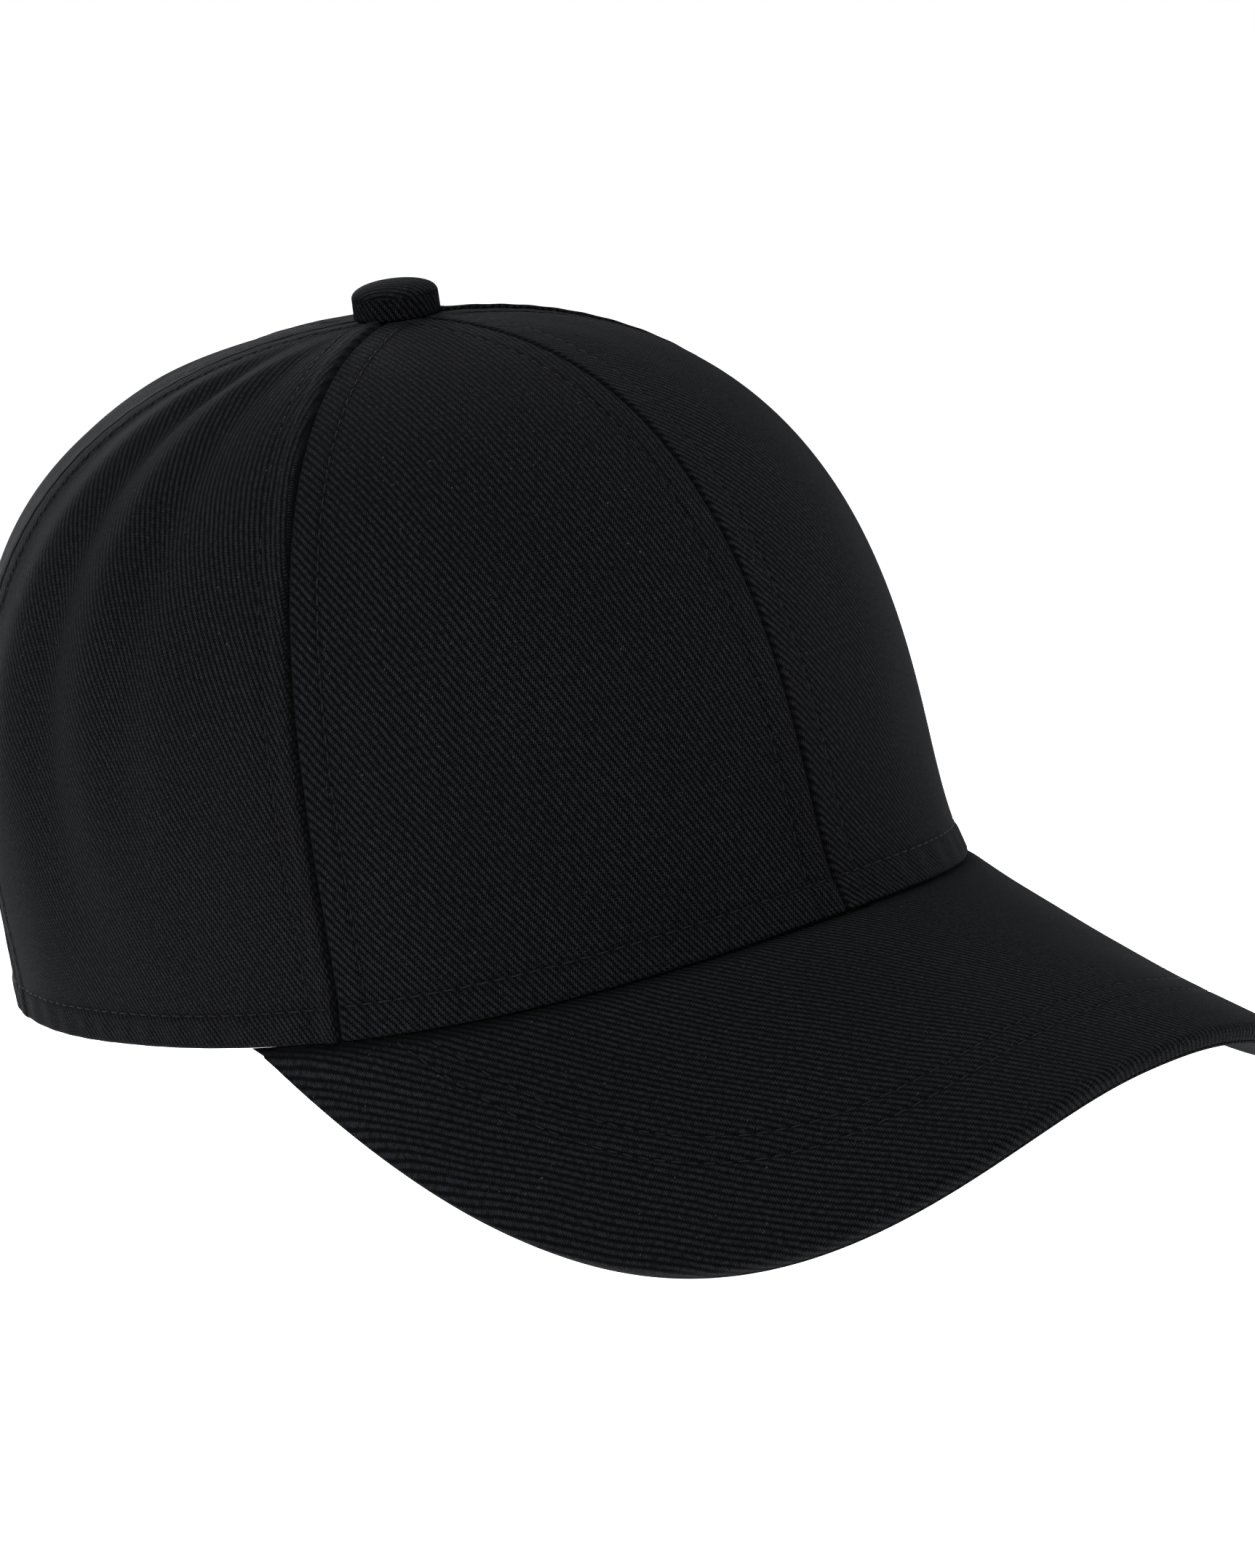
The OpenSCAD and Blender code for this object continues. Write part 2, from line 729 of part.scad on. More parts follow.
module buckle_lever() {
    cam = polar(pin_r - cam_offset, pin_angle, strap_axis_y);
    plate_r = pin_r + 0.2;
    color(metal_colour)
        difference() {
            union() {
                at_pin() translate([0, 0, lever_z]) cylinder(r = barrel_r, h = lever_w);
                translate([cam.x, cam.y, lever_z]) cylinder(r = cam_r, h = lever_w);
                arc_bar(plate_r, plate_r + lever_t, lever_z, lever_w, pin_angle, lever_end);
                arc_bar(plate_r, plate_r + lever_t + 1, lever_z, lever_w, lever_end - 1, lever_end);
            }
            at_pin()
                translate([0, 0, lever_z - 1])
                    cylinder(r = pin_d / 2 + pin_clear, h = lever_w + 2);
        }
}

// A blank label on the sweatband's inner face, on the wearer's left.
module size_label() {
    middle = -104;
    turn = deg(label_w, half_width);
    grid = function (depth) [
        for (i = [0 : 2]) [
            for (j = [0 : 6])
                let (a = middle + turn * (j / 6 - 0.5))
                crown_in(a, share(a, 8 + label_h * i / 2), band_depth(a) + band_t + depth)
        ]
    ];
    color(inner_colour) sheet(grid(layer_gap + 0.1), grid(layer_gap + 0.1 + label_t));
}

front_right_panel();
front_left_panel();
side_right_panel();
side_left_panel();
back_right_panel();
back_left_panel();
front_right_buckram();
front_left_buckram();
centre_front_tape();
right_front_tape();
left_front_tape();
right_side_tape();
left_side_tape();
centre_back_tape();
arch_facing();
sweatband();
sweatband_foam();
brim_board();
brim_top_cover();
brim_under_cover();
button_cover();
button_shell();
button_rivet();
button_washer();
adjuster_strap();
buckle_tab();
buckle_frame();
buckle_pin();
buckle_lever();
size_label();
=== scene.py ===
"""A six-panel baseball cap in black cotton twill, sewn piece by piece around its measured frame."""
import math

import bpy
import numpy as np
from mathutils import Matrix, Vector


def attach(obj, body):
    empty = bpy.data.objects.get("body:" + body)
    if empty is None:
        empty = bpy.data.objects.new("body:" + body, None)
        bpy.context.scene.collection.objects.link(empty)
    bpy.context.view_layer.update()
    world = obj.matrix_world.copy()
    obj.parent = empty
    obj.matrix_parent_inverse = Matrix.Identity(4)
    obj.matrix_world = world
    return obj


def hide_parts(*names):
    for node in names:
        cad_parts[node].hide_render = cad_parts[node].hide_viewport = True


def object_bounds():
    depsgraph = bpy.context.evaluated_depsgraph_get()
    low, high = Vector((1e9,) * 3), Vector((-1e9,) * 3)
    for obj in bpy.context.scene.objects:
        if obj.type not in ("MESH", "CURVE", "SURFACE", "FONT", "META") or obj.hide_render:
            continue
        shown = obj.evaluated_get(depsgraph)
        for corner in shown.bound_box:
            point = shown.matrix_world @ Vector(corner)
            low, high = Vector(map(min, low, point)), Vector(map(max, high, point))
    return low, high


bl_info = {
    "name": "Six-Panel Baseball Cap",
    "version": (1, 0, 0),
    "blender": (4, 5, 0),
    "location": "View3D > Sidebar > Cap",
    "description": "Sews a twill baseball cap around its measured frame",
    "category": "Add Mesh",
}

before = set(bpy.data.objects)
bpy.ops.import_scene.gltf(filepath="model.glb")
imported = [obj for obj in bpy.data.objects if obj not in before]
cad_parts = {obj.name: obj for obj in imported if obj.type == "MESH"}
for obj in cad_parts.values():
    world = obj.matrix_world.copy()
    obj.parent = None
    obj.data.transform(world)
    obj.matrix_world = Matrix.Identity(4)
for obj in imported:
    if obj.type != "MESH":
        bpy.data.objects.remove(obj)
FRAME_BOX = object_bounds()

MM = 0.001

# The crown's own sizes, as its frame has them, in millimetres. An angle on the crown is in
# degrees from the front, positive to the wearer's right; h is a share of the height.
HALF_WIDTH = 84.0
FRONT_REACH = 102.0
BACK_REACH = 100.0
CROWN_HEIGHT = 118.0
TOP_FORWARD = 10.5
LEAN = 9.5
SIDE_POWER, SIDE_POWER_FRONT = 3.3, -0.45
TOP_POWER, TOP_POWER_FRONT = 2.3, -0.1
RIM_FLARE = 4.8
FRONT_RISE = 5.5
SIDE_DIP = 1.0
PANEL_T = 1.0
HOLE_R = 2.0
BUCKRAM_T = 0.7
TAPE_DEPTH, TAPE_T, TAPE_W = 2.0, 0.5, 12.0
FACING_DEPTH, FACING_T, FACING_W = 1.3, 0.6, 10.0
ARCH_W, ARCH_H = 80.0, 45.0
ARCH_HALF = math.degrees(math.asin(ARCH_W / (2 * HALF_WIDTH)))
PANEL_HALF = 30.0
RIM_STEP = 1.466  # millimetres in one degree round the side of the rim
SKEW = 0.0028
DEEPEST_GROOVE = 0.8
FRONT_GRAIN, SIDE_GRAIN, BACK_GRAIN = 13.0, 5.0, 3.0  # degrees between a panel's warp and its middle

# The sweatband.
BAND_H, BAND_T, BAND_CLOTH, BAND_LIFT = 32.0, 2.2, 0.5, 0.3
BAND_FRONT, BAND_BACK = 3.0, 5.2

# The brim.
BRIM_LENGTH, BRIM_END, BRIM_SQUARE, BRIM_BULGE = 76.0, 70.5, 2.5, 4.5
FALL_MID, FALL_SIDE, FALL_EASE, BRIM_BOW = 14.0, 40.5, 0.3, 3.1
BRIM_BEND = 108.0
BRIM_GRAIN = 15.0
BRIM_TUCK, SEAT_GAP, BRIM_CLOTH, UNDER_DEPTH = 2.2, 0.15, 0.6, 2.95

# The button, and the strap's arc about its own axis, in degrees from the centre back to the left.
BUTTON_R, BUTTON_SIDE, BUTTON_DOME, BUTTON_LIFT = 8.2, 4.0, 2.8, 0.2
BUTTON_STEPS = 192
STRAP_R, STRAP_AXIS_Y = 74.994, 20.206
STRAP_Z, STRAP_W, STRAP_T = 4.0, 20.0, 1.2
STRAP_ROOT, STRAP_TAIL = 55.9, 45.2
BUCKLE_END = 21.05
BAR_W, BAR_OUTER = 2.0, STRAP_R + 2.8
TAB_T, TAB_W, TAB_Z = 0.8, 18.0, 5.0
TAB_ROOT = 37.86

# The blank label: how far round the crown its middle is, and its size and height on the band.
LABEL_ANGLE, LABEL_LENGTH, LABEL_W, LABEL_LIFT = -104.0, 30.0, 18.0, 8.0

# Lamps: where each stands, in metres, how wide it is, and its share of the key light's power.
LAMPS = (
    ("key", (-0.6, -0.5, 1.35), 0.9, 1.0),
    ("front", (-0.6, -1.4, 0.4), 0.8, 0.12),
    ("rear", (0.5, 0.7, 1.1), 0.8, 0.25),
    ("back", (0.6, 1.5, 0.35), 0.9, 0.6),
)
AIM = (0.0, 0.0, 0.03)
FLOOR_HALF, FLOOR_DROP = 6.0, 0.12


# ---------------------------------------------------------------- shapes, as whole arrays

def smooth(t):
    """0 below 0, 1 above 1, and a smooth step between."""
    t = np.clip(t, 0, 1)
    return t * t * (3 - 2 * t)


def unit(v):
    """Vectors divided by their length."""
    return v / np.maximum(np.linalg.norm(v, axis=-1, keepdims=True), 1e-12)


def bell(x, width):
    """A bell curve of height 1 about 0."""
    return np.exp(-(x / width) ** 2)


def way_along(points):
    """The length of the way from a line's first point to each of its points."""
    return np.concatenate([[0], np.cumsum(np.linalg.norm(np.diff(points, axis=0), axis=1))])


def pairs(x, y):
    """Two arrays, broadcast against each other, as one array of pairs."""
    return np.stack(np.broadcast_arrays(x, y), -1)


def on_the_grain(x, y, grain):
    """Flat cloth positions turned by the grain's angle, in degrees."""
    turn = math.radians(grain)
    return np.stack([x * math.cos(turn) - y * math.sin(turn), x * math.sin(turn) + y * math.cos(turn)], -1)


def rounded(edge, radius, least):
    """How thick a strip is, as a share, this far from its edge: a quarter circle, but never
    thinner than the least share."""
    return np.sqrt(np.clip(1 - np.clip(1 - edge / radius, 0, 1) ** 2, least, 1))


def degrees_of(length, radius):
    """The angle that a length takes up on a circle."""
    return math.degrees(length / radius)


def rim_height(a):
    """The rim's height: a rise at the front by the fourth power of the cosine, less a dip at the
    sides by the square of the sine."""
    c, s = np.cos(np.radians(a)), np.sin(np.radians(a))
    return FRONT_RISE * np.maximum(c, 0) ** 4 - SIDE_DIP * s * s


def crown_at(a, h):
    """The crown's surface: an egg-shaped oval rim that closes to the top as a superellipse,
    with a small flare at the front edge, and a lean that lowers the front and lifts the back."""
    a, h = np.broadcast_arrays(np.asarray(a, float), np.asarray(h, float))
    c, s = np.cos(np.radians(a)), np.sin(np.radians(a))
    side = SIDE_POWER + SIDE_POWER_FRONT * c
    top = TOP_POWER + TOP_POWER_FRONT * c
    f = np.clip(1 - np.clip(h, 0, 1) ** side, 0, None) ** (1 / top)
    f = f + RIM_FLARE / FRONT_REACH * np.maximum(c, 0) * np.clip(1 - h, 0, None) ** 14
    reach = np.where(c > 0, FRONT_REACH, BACK_REACH)
    rim = rim_height(a)
    g = np.minimum(f, 1)
    return np.stack([
        -HALF_WIDTH * s * f,
        -reach * c * f - TOP_FORWARD * (1 - f),
        rim + (CROWN_HEIGHT - rim) * h - LEAN * c * g * (1 - g) ** 2,
    ], -1)


def crown_frame(a, h):
    """The crown's point, its outward normal, level at the rim, and the millimetres in one degree round it."""
    dh = np.minimum(0.002, 0.2 * (1 - h))
    up = crown_at(a, h + dh) - crown_at(a, np.maximum(h - dh, 0))
    along = crown_at(a + 0.5, h) - crown_at(a - 0.5, h)
    normal = unit(np.cross(up, along))
    normal[..., 2] *= np.minimum(h / 0.08, 1)
    return crown_at(a, h), unit(normal), np.linalg.norm(along, axis=-1)


def crown_in(a, h, depth):
    """The crown's surface moved inwards by a depth."""
    a, h = np.broadcast_arrays(np.asarray(a, float), np.asarray(h, float))
    point, normal, _ = crown_frame(a, h)
    return point - np.asarray(depth)[..., None] * normal


def share_at_radius(a, r):
    """The height share where the crown closes in to a radius."""
    c = np.cos(np.radians(a))
    top, side = TOP_POWER + TOP_POWER_FRONT * c, SIDE_POWER + SIDE_POWER_FRONT * c
    return (1 - (r / HALF_WIDTH) ** top) ** (1 / side)


def share_of(a, height):
    """The height share of a height above the rim."""
    return height / (CROWN_HEIGHT - rim_height(a))


def arch_share(off):
    """The arch's lower edge: half an ellipse over the angle from the centre back."""
    return ARCH_H / CROWN_HEIGHT * np.sqrt(np.clip(1 - (off / ARCH_HALF) ** 2, 0, None))


def edge_distance(a, h):
    """Millimetres from the panels' lower edge: the height over the rim, or over the arch the
    distance from its ellipse, which is how far the ellipse's own value is from 1 over its slope."""
    over_rim = h * (CROWN_HEIGHT - rim_height(a))
    off = 180 - np.abs(a)
    wide, high = ARCH_HALF * RIM_STEP, ARCH_H
    x, y = off * RIM_STEP, h * CROWN_HEIGHT
    q = np.sqrt((x / wide) ** 2 + (y / high) ** 2)
    over_arch = (q - 1) * q / np.maximum(np.sqrt((x / wide ** 2) ** 2 + (y / high ** 2) ** 2), 1e-6)
    behind = np.where(off >= ARCH_HALF, np.minimum(over_rim, over_arch), over_arch)
    return np.where(off < 90, behind, over_rim)


def soft_relief(a, h):
    """The slow unevenness of worn cloth, none at the edges: a sum of three waves, stronger on the
    unstiffened panels, and two upright dents with swells beside them on the wearer's right."""
    waves = (np.sin(0.11 * a + 1.3) * np.sin(5.1 * h + 0.4) + 0.7 * np.sin(0.23 * a - 3.3 * h + 2.1)
             + 0.4 * np.sin(0.37 * a + 9.1 * h))
    loose = 0.12 + 0.3 * smooth((np.abs(a) - 55) / 30)
    inside = smooth(edge_distance(a, h) / 25) * smooth((1 - h) / 0.06)
    sway_behind, sway_ahead = 4 * np.sin(3 * h), 3 * np.sin(4 * h)
    dents = (0.9 * bell(a - 106, 6) - 1.9 * bell(a - 95 - sway_behind, 4.5)
             + 0.5 * bell(a - 87 - sway_ahead, 3) - 0.7 * bell(a - 80 - sway_ahead, 3))
    return (waves * loose + dents * smooth((h - 0.12) / 0.3)) * inside


def seam_relief(d, along, row, over):
    """Across a seam: the rolled valley, the swell of the allowance turned back under the cloth,
    the groove of the topstitch row, small gathers that die out away from the seam, and a rolled
    edge where this panel lies over its neighbour, or a dip where it lies under."""
    valley = -(0.3 + np.abs(over) * 0.4) * bell(d, 0.36)
    allowance = 0.18 * (1 - smooth((d - row + 1.2) / 1.5)) * smooth(d / 1.0)
    groove = 0.12 * bell(d - row, 0.5)
    gathers = 0.05 * np.sin(along * 0.95 + 1.5 * np.sin(along / 9)) * bell(d, 6.5) * smooth(d / 1.2)
    edge = 0.5 * np.maximum(over, 0) * smooth(d / 0.8) * (1 - smooth((d - 2.2) / 1.8))
    dip = 0.12 * np.maximum(-over, 0) * (1 - smooth(d / 4.5))
    return valley + allowance - groove + gathers + edge - dip


def laid_over(a, middle):
    """1 where the panel's edge lies over its neighbour's, -1 where it lies under, 0 where they butt:
    the side panels lie over the front ones, and the left front panel a little over the right one."""
    outside = np.abs(a) > abs(middle)
    if abs(middle) == 3 * PANEL_HALF:
        return np.where(outside, 0, 1)
    if abs(middle) == PANEL_HALF:
        return np.where(outside, -1, -math.copysign(0.12, middle))
    return np.zeros_like(a)


def hem_relief(w, along, row):
    """Up from the folded lower edge: its half-round, the swell of the hem, its stitched groove, and
    the puckers that the thread draws in it."""
    r = 0.5
    rounding = -(r - np.sqrt(np.clip(r * r - np.clip(r - w, 0, r) ** 2, 0, None)))
    swell = 0.22 * (1 - smooth((w - row + 1.2) / 1.5)) * smooth(w / 0.8)
    puckers = 0.17 * np.sin(along * 0.9 + 2 * np.sin(along / 11)) * bell(w - 3, 2.6)
    return rounding + swell - 0.16 * bell(w - row, 0.5) + puckers


def panel_surface(a, h, middle, sewing):
    """A panel's outer face: the crown's surface moved out by its relief, with its normal."""
    point, normal, per_degree = crown_frame(a, h)
    d = np.clip(PANEL_HALF - np.abs(a - middle), 0, None) * per_degree
    rise = point[..., 2] + 0.9 * (90 - np.hypot(point[..., 0], point[..., 1]))
    soft = soft_relief(a, h)
    relief = (soft + seam_relief(d, rise, sewing.seam_row / MM, laid_over(a, middle))
              + hem_relief(edge_distance(a, h), a * 1.5, sewing.hem_row / MM))
    return point + np.maximum(relief, soft - DEEPEST_GROOVE)[..., None] * normal, normal


def panel_painted_shade(a, h, middle, sewing):
    """Painted shade on a panel's colour, 0 to 1: full in the seam's valley, and less in the stitched rows,
    where the cloth would lie in shade."""
    d = np.clip(PANEL_HALF - np.abs(a - middle), 0, None) * crown_frame(a, h)[2]
    w = edge_distance(a, h)
    rows = np.maximum(bell(d - sewing.seam_row / MM, 0.5), bell(w - sewing.hem_row / MM, 0.6))
    return np.maximum(bell(d, 0.55), 0.6 * rows)


def brim_outline(v):
    """The brim's outline in plan: a superellipse from one end round the front to the other,
    bulged past its ends."""
    end = crown_at(BRIM_END, 0.0)
    reach = BRIM_LENGTH + FRONT_REACH + end[1]
    turn = np.radians(90 * v)
    side = -end[0] * np.abs(np.sin(turn)) ** (2 / BRIM_SQUARE)
    return np.stack([
        -np.sign(v) * side - BRIM_BULGE * np.sin(2 * turn),
        end[1] - reach * np.clip(np.cos(turn), 0, None) ** (2 / BRIM_SQUARE),
    ], -1)


def brim_reach(v):
    """How far the outline is from the crown's edge, in plan."""
    return np.linalg.norm(brim_outline(v) - crown_at(v * BRIM_END, 0.0)[..., :2], axis=-1)


def brim_at(v, s):
    """The brim's surface, v across and s out from the crown's edge: a straight way out in plan,
    falling by an angle that grows from the middle to the sides, and bowed down to its edge."""
    v, s = np.broadcast_arrays(np.asarray(v, float), np.asarray(s, float))
    root, edge, reach = crown_at(v * BRIM_END, 0.0), brim_outline(v), brim_reach(v)

    def eased(t):
        """Straight growth with a rounded start: a hyperbola."""
        return np.sqrt(t * t + FALL_EASE ** 2) - FALL_EASE

    fall = FALL_MID + (FALL_SIDE - FALL_MID) * eased(np.sin(np.radians(90 * v))) / eased(1.0)
    out = np.maximum(s, 0)
    plan = root[..., :2] + (edge - root[..., :2]) * s[..., None]
    drop = out * reach * np.tan(np.radians(fall))
    z = root[..., 2] - SEAT_GAP - drop - BRIM_BOW * out ** 2 * reach / BRIM_LENGTH
    return np.concatenate([plan, z[..., None]], -1)


def brim_in(v, s, depth):
    """The brim's surface moved down along its normal by a depth."""
    v, s, depth = np.broadcast_arrays(np.asarray(v, float), np.asarray(s, float), np.asarray(depth, float))
    base = np.maximum(s, 0)
    across = brim_at(np.clip(v + 0.004, -1, 1), base) - brim_at(np.clip(v - 0.004, -1, 1), base)
    out = brim_at(v, base + 0.01) - brim_at(v, base)
    normal = unit(np.cross(across, out))
    return brim_at(v, s) - depth[..., None] * normal, normal


def brim_way(v):
    """The length of the way out over the brim's slope, from the crown's edge to the outline."""
    return np.linalg.norm(brim_at(v, 1.0) - brim_at(v, 0.0), axis=-1)


def edge_slant(v):
    """The cosine between the way out across the brim and the outline's own normal."""
    way = unit(brim_outline(v) - crown_at(v * BRIM_END, 0.0)[..., :2])
    tangent = unit(brim_outline(np.clip(v + 0.002, -1, 1)) - brim_outline(np.clip(v - 0.002, -1, 1)))
    return np.abs(way[..., 0] * tangent[..., 1] - way[..., 1] * tangent[..., 0])


def strap_at(r, angle, z):
    """A point about the strap's upright axis, its angle from the centre back to the wearer's left."""
    r, angle, z = np.broadcast_arrays(np.asarray(r, float), np.asarray(angle, float), np.asarray(z, float))
    t = np.radians(angle)
    return np.stack([r * np.sin(t), STRAP_AXIS_Y + r * np.cos(t), z], -1)


def at_top(points):
    """Points of the button moved to the crown's top and tilted square to the slope there."""
    tilt = math.atan(2 * LEAN / (FRONT_REACH + BACK_REACH))
    c, s = math.cos(tilt), math.sin(tilt)
    x, y, z = points[..., 0], points[..., 1], points[..., 2]
    return np.stack([x, y * c - z * s - TOP_FORWARD, y * s + z * c + CROWN_HEIGHT], -1)


# ---------------------------------------------------------------- meshes

SHARP_FOLD = math.radians(55)


def mesh_piece(name, points, polygons, uv, material, body, shade=None):
    """One finished piece from points in millimetres, lists of polygons with equal corner counts,
    a flat-cloth position per point, and a painted shade per point, kept as its groove attribute. A closed
    shape that encloses a negative volume is turned right way out."""
    volume = 0.0
    for p in polygons:
        a, b, c = points[p[:, [0]]], points[p[:, 1:-1]], points[p[:, 2:]]
        volume += float(np.einsum("ijk,ijk->", np.broadcast_to(a, b.shape), np.cross(b, c)))
    if volume < 0:
        polygons = [p[:, ::-1] for p in polygons]
    corners = np.concatenate([p.ravel() for p in polygons]).astype(np.int32)
    sizes = np.concatenate([np.full(len(p), p.shape[1]) for p in polygons])
    starts = np.concatenate([[0], np.cumsum(sizes)[:-1]]).astype(np.int32)
    mesh = bpy.data.meshes.new(name)
    mesh.vertices.add(len(points))
    mesh.vertices.foreach_set("co", (points * MM).astype(np.float32).ravel())
    mesh.loops.add(len(corners))
    mesh.loops.foreach_set("vertex_index", corners)
    mesh.polygons.add(len(sizes))
    mesh.polygons.foreach_set("loop_start", starts)
    mesh.polygons.foreach_set("use_smooth", np.ones(len(sizes), bool))
    mesh.update(calc_edges=True)
    mesh.uv_layers.new(name="cloth").data.foreach_set("uv", (uv[corners] * MM).astype(np.float32).ravel())
    # The painted shade goes on as a point attribute that darkens the twill's colour.
    if shade is not None:
        groove = mesh.attributes.new("groove", "FLOAT", "POINT")
        groove.data.foreach_set("value", shade.astype(np.float32).ravel())
    mesh.validate()
    mesh.set_sharp_from_angle(angle=SHARP_FOLD)
    mesh.materials.append(material)
    piece = bpy.data.objects.new(name, mesh)
    bpy.context.scene.collection.objects.link(piece)
    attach(piece, body)
    return piece


def loft(name, rings, uv, material, body, shade=None):
    """A closed piece through stations of closed rings, with a many-sided cap at each end."""
    stations, ring = rings.shape[:2]
    j = np.arange(stations - 1)[:, None] * ring
    i = np.arange(ring)[None]
    k = (i + 1) % ring
    quads = np.stack([j + i, j + k, j + ring + k, j + ring + i], -1).reshape(-1, 4)
    polygons = [quads, i[:, ::-1], (stations - 1) * ring + i]
    return mesh_piece(name, rings.reshape(-1, 3), polygons, uv.reshape(-1, 2), material, body, shade)


def turned(name, profile, wobble, material, body):
    """A closed piece turned about the upright from a profile that starts and ends on the axis, set
    on the crown's top. The wobble moves each ring in or out round the turn. The flat cloth is a
    disc out to the widest ring, and goes straight down from there."""
    count = BUTTON_STEPS
    t = np.radians(np.arange(count) * 360 / count)
    r, z = profile[1:-1, 0], profile[1:-1, 1]
    rr = r[:, None] + wobble
    rings = np.stack([rr * np.cos(t), rr * np.sin(t), np.broadcast_to(z[:, None], rr.shape)], -1)
    n = len(r)
    points = np.concatenate([rings.reshape(-1, 3), [[0, 0, profile[0, 1]], [0, 0, profile[-1, 1]]]])
    i, k = np.arange(count), (np.arange(count) + 1) % count
    j = np.arange(n - 1)[:, None] * count
    quads = np.stack([j + i, j + count + i, j + count + k, j + k], -1).reshape(-1, 4)
    top = np.stack([np.full(count, n * count), i, k], -1)
    low = np.stack([np.full(count, n * count + 1), (n - 1) * count + k, (n - 1) * count + i], -1)
    step = way_along(profile)[1:-1]
    rim = step[np.argmax(r)]
    flat = np.where((step < rim)[:, None, None],
                    np.stack([step[:, None] * np.cos(t), step[:, None] * np.sin(t)], -1),
                    pairs(r.max() * t[None], -step[:, None])).reshape(-1, 2)
    flat = np.concatenate([flat, [[0, 0], [0, 0]]])
    return mesh_piece(name, at_top(points), [quads, top, low], flat, material, body)


def stitches(path, normal, sewing, rng):
    """A row of stitches along a path: each is a plump thread that rises out of the cloth and
    dives back in, as a tube of five rings whose lift and width follow a sine."""
    pitch, length, width = sewing.stitch_pitch / MM, sewing.stitch_length / MM, sewing.thread_width / MM
    s = way_along(path)
    count = max(int(s[-1] // pitch), 1)
    t = np.linspace(0, 1, 6)
    start = (s[-1] - count * pitch + pitch - length) / 2
    where = start + np.arange(count)[:, None] * pitch + t * length

    def along(values):
        """Values of the path at the stitches' own places."""
        return np.stack([np.interp(where, s, values[:, n]) for n in range(3)], -1)

    centre, up = along(path), unit(along(normal))
    tangent = unit(along(np.gradient(path, s, axis=0)))
    side = np.cross(tangent, up)
    sway = rng.normal(0, 0.05, (count, 1, 1)) * (t - 0.5)[None, :, None] * 2
    arch = np.sin(np.pi * t)
    lift = width * (0.62 * arch ** 0.6 - 0.42)
    radius = width / 2 * (0.6 + 0.4 * arch ** 0.5)
    turn = np.radians(np.arange(6) * 60)
    centre = centre + side * sway + up * lift[None, :, None]
    ring = (side[:, :, None] * np.cos(turn)[None, None, :, None]
            + up[:, :, None] * (0.8 * np.sin(turn))[None, None, :, None])
    points = centre[:, :, None] + ring * radius[None, :, None, None]
    return points, pairs(where[:, :, None], (turn * width / 2)[None, None])


def thread_piece(name, rows, material, body):
    """Rows of stitches as one piece."""
    points = np.concatenate([p for p, _ in rows])
    uv = np.concatenate([u for _, u in rows])
    count, rings, ring = points.shape[:3]
    base = np.arange(count)[:, None] * rings * ring
    j = base[..., None] + np.arange(rings - 1)[None, :, None] * ring
    i = np.arange(ring)[None, None]
    k = (i + 1) % ring
    quads = np.stack([j + i, j + k, j + ring + k, j + ring + i], -1).reshape(-1, 4)
    polygons = [quads, base + i[0, :, ::-1], base + (rings - 1) * ring + i[0]]
    return mesh_piece(name, points.reshape(-1, 3), polygons, uv.reshape(-1, 2), material, body)


# ---------------------------------------------------------------- finishes

# From one twill yarn to the next, along and across the warp, as shares of the wale's pitch.
END_SHARE, PICK_SHARE = 0.302, 0.447


class Graph:
    """Short ways to add and join shader nodes in one tree."""

    def __init__(self, tree):
        """Keep the tree that the nodes go into."""
        self.tree = tree

    def add(self, kind, **settings):
        """A node with its settings, and with its inputs linked or set by name or number."""
        inputs = settings.pop("inputs", {})
        node = self.tree.nodes.new(kind)
        for key, value in settings.items():
            setattr(node, key, value)
        for key, value in inputs.items():
            self.put(node.inputs[key], value)
        return node

    def put(self, socket, value):
        """Link a socket to another one, or set it."""
        if isinstance(value, bpy.types.NodeSocket):
            self.tree.links.new(value, socket)
        else:
            socket.default_value = value

    def math(self, operation, *values, clamp=False):
        """A sum on numbers."""
        node = self.add("ShaderNodeMath", operation=operation, use_clamp=clamp)
        for n, value in enumerate(values):
            self.put(node.inputs[n], value)
        return node.outputs[0]

    def vector(self, operation, *values):
        """A sum on vectors or colours."""
        node = self.add("ShaderNodeVectorMath", operation=operation)
        for n, value in enumerate(values):
            self.put(node.inputs["Scale" if operation == "SCALE" and n else n], value)
        return node.outputs[0]

    def mix(self, share, a, b):
        """From colour a to colour b by a share."""
        node = self.add("ShaderNodeMix", data_type="RGBA")
        self.put(node.inputs[0], share)
        self.put(node.inputs[6], a)
        self.put(node.inputs[7], b)
        return node.outputs[2]

    def noise(self, vector, scale, detail=2.0):
        """Noise about 1 / scale metres coarse, as a number and as a colour."""
        node = self.add("ShaderNodeTexNoise", inputs={"Vector": vector, "Scale": scale, "Detail": detail})
        return node.outputs["Fac"], node.outputs["Color"]

    def wander(self, vector, scale, reach):
        """A vector that strays by noise, to half its reach each way."""
        stray = self.vector("SUBTRACT", self.noise(vector, scale)[1], (0.5, 0.5, 0.5))
        return self.vector("SCALE", stray, reach)

    def parabola(self, value, height):
        """1 less a height times the square of a value."""
        return self.math("SUBTRACT", 1.0, self.math("MULTIPLY", self.math("MULTIPLY", value, value), height))

    def ramp(self, value, low, high):
        """A smooth step from 0 at low to 1 at high."""
        node = self.add("ShaderNodeMapRange", interpolation_type="SMOOTHSTEP")
        for n, x in enumerate((value, low, high)):
            self.put(node.inputs[n], x)
        return node.outputs[0]


def new_group(name, inputs, outputs):
    """An empty node group with its sockets, and its graph, input node and output node."""
    tree = bpy.data.node_groups.new(name, "ShaderNodeTree")
    for label, kind, default in inputs:
        socket = tree.interface.new_socket(name=label, in_out="INPUT", socket_type=kind)
        if default is not None:
            socket.default_value = default
    for label, kind in outputs:
        tree.interface.new_socket(name=label, in_out="OUTPUT", socket_type=kind)
    graph = Graph(tree)
    return tree, graph, graph.add("NodeGroupInput"), graph.add("NodeGroupOutput")


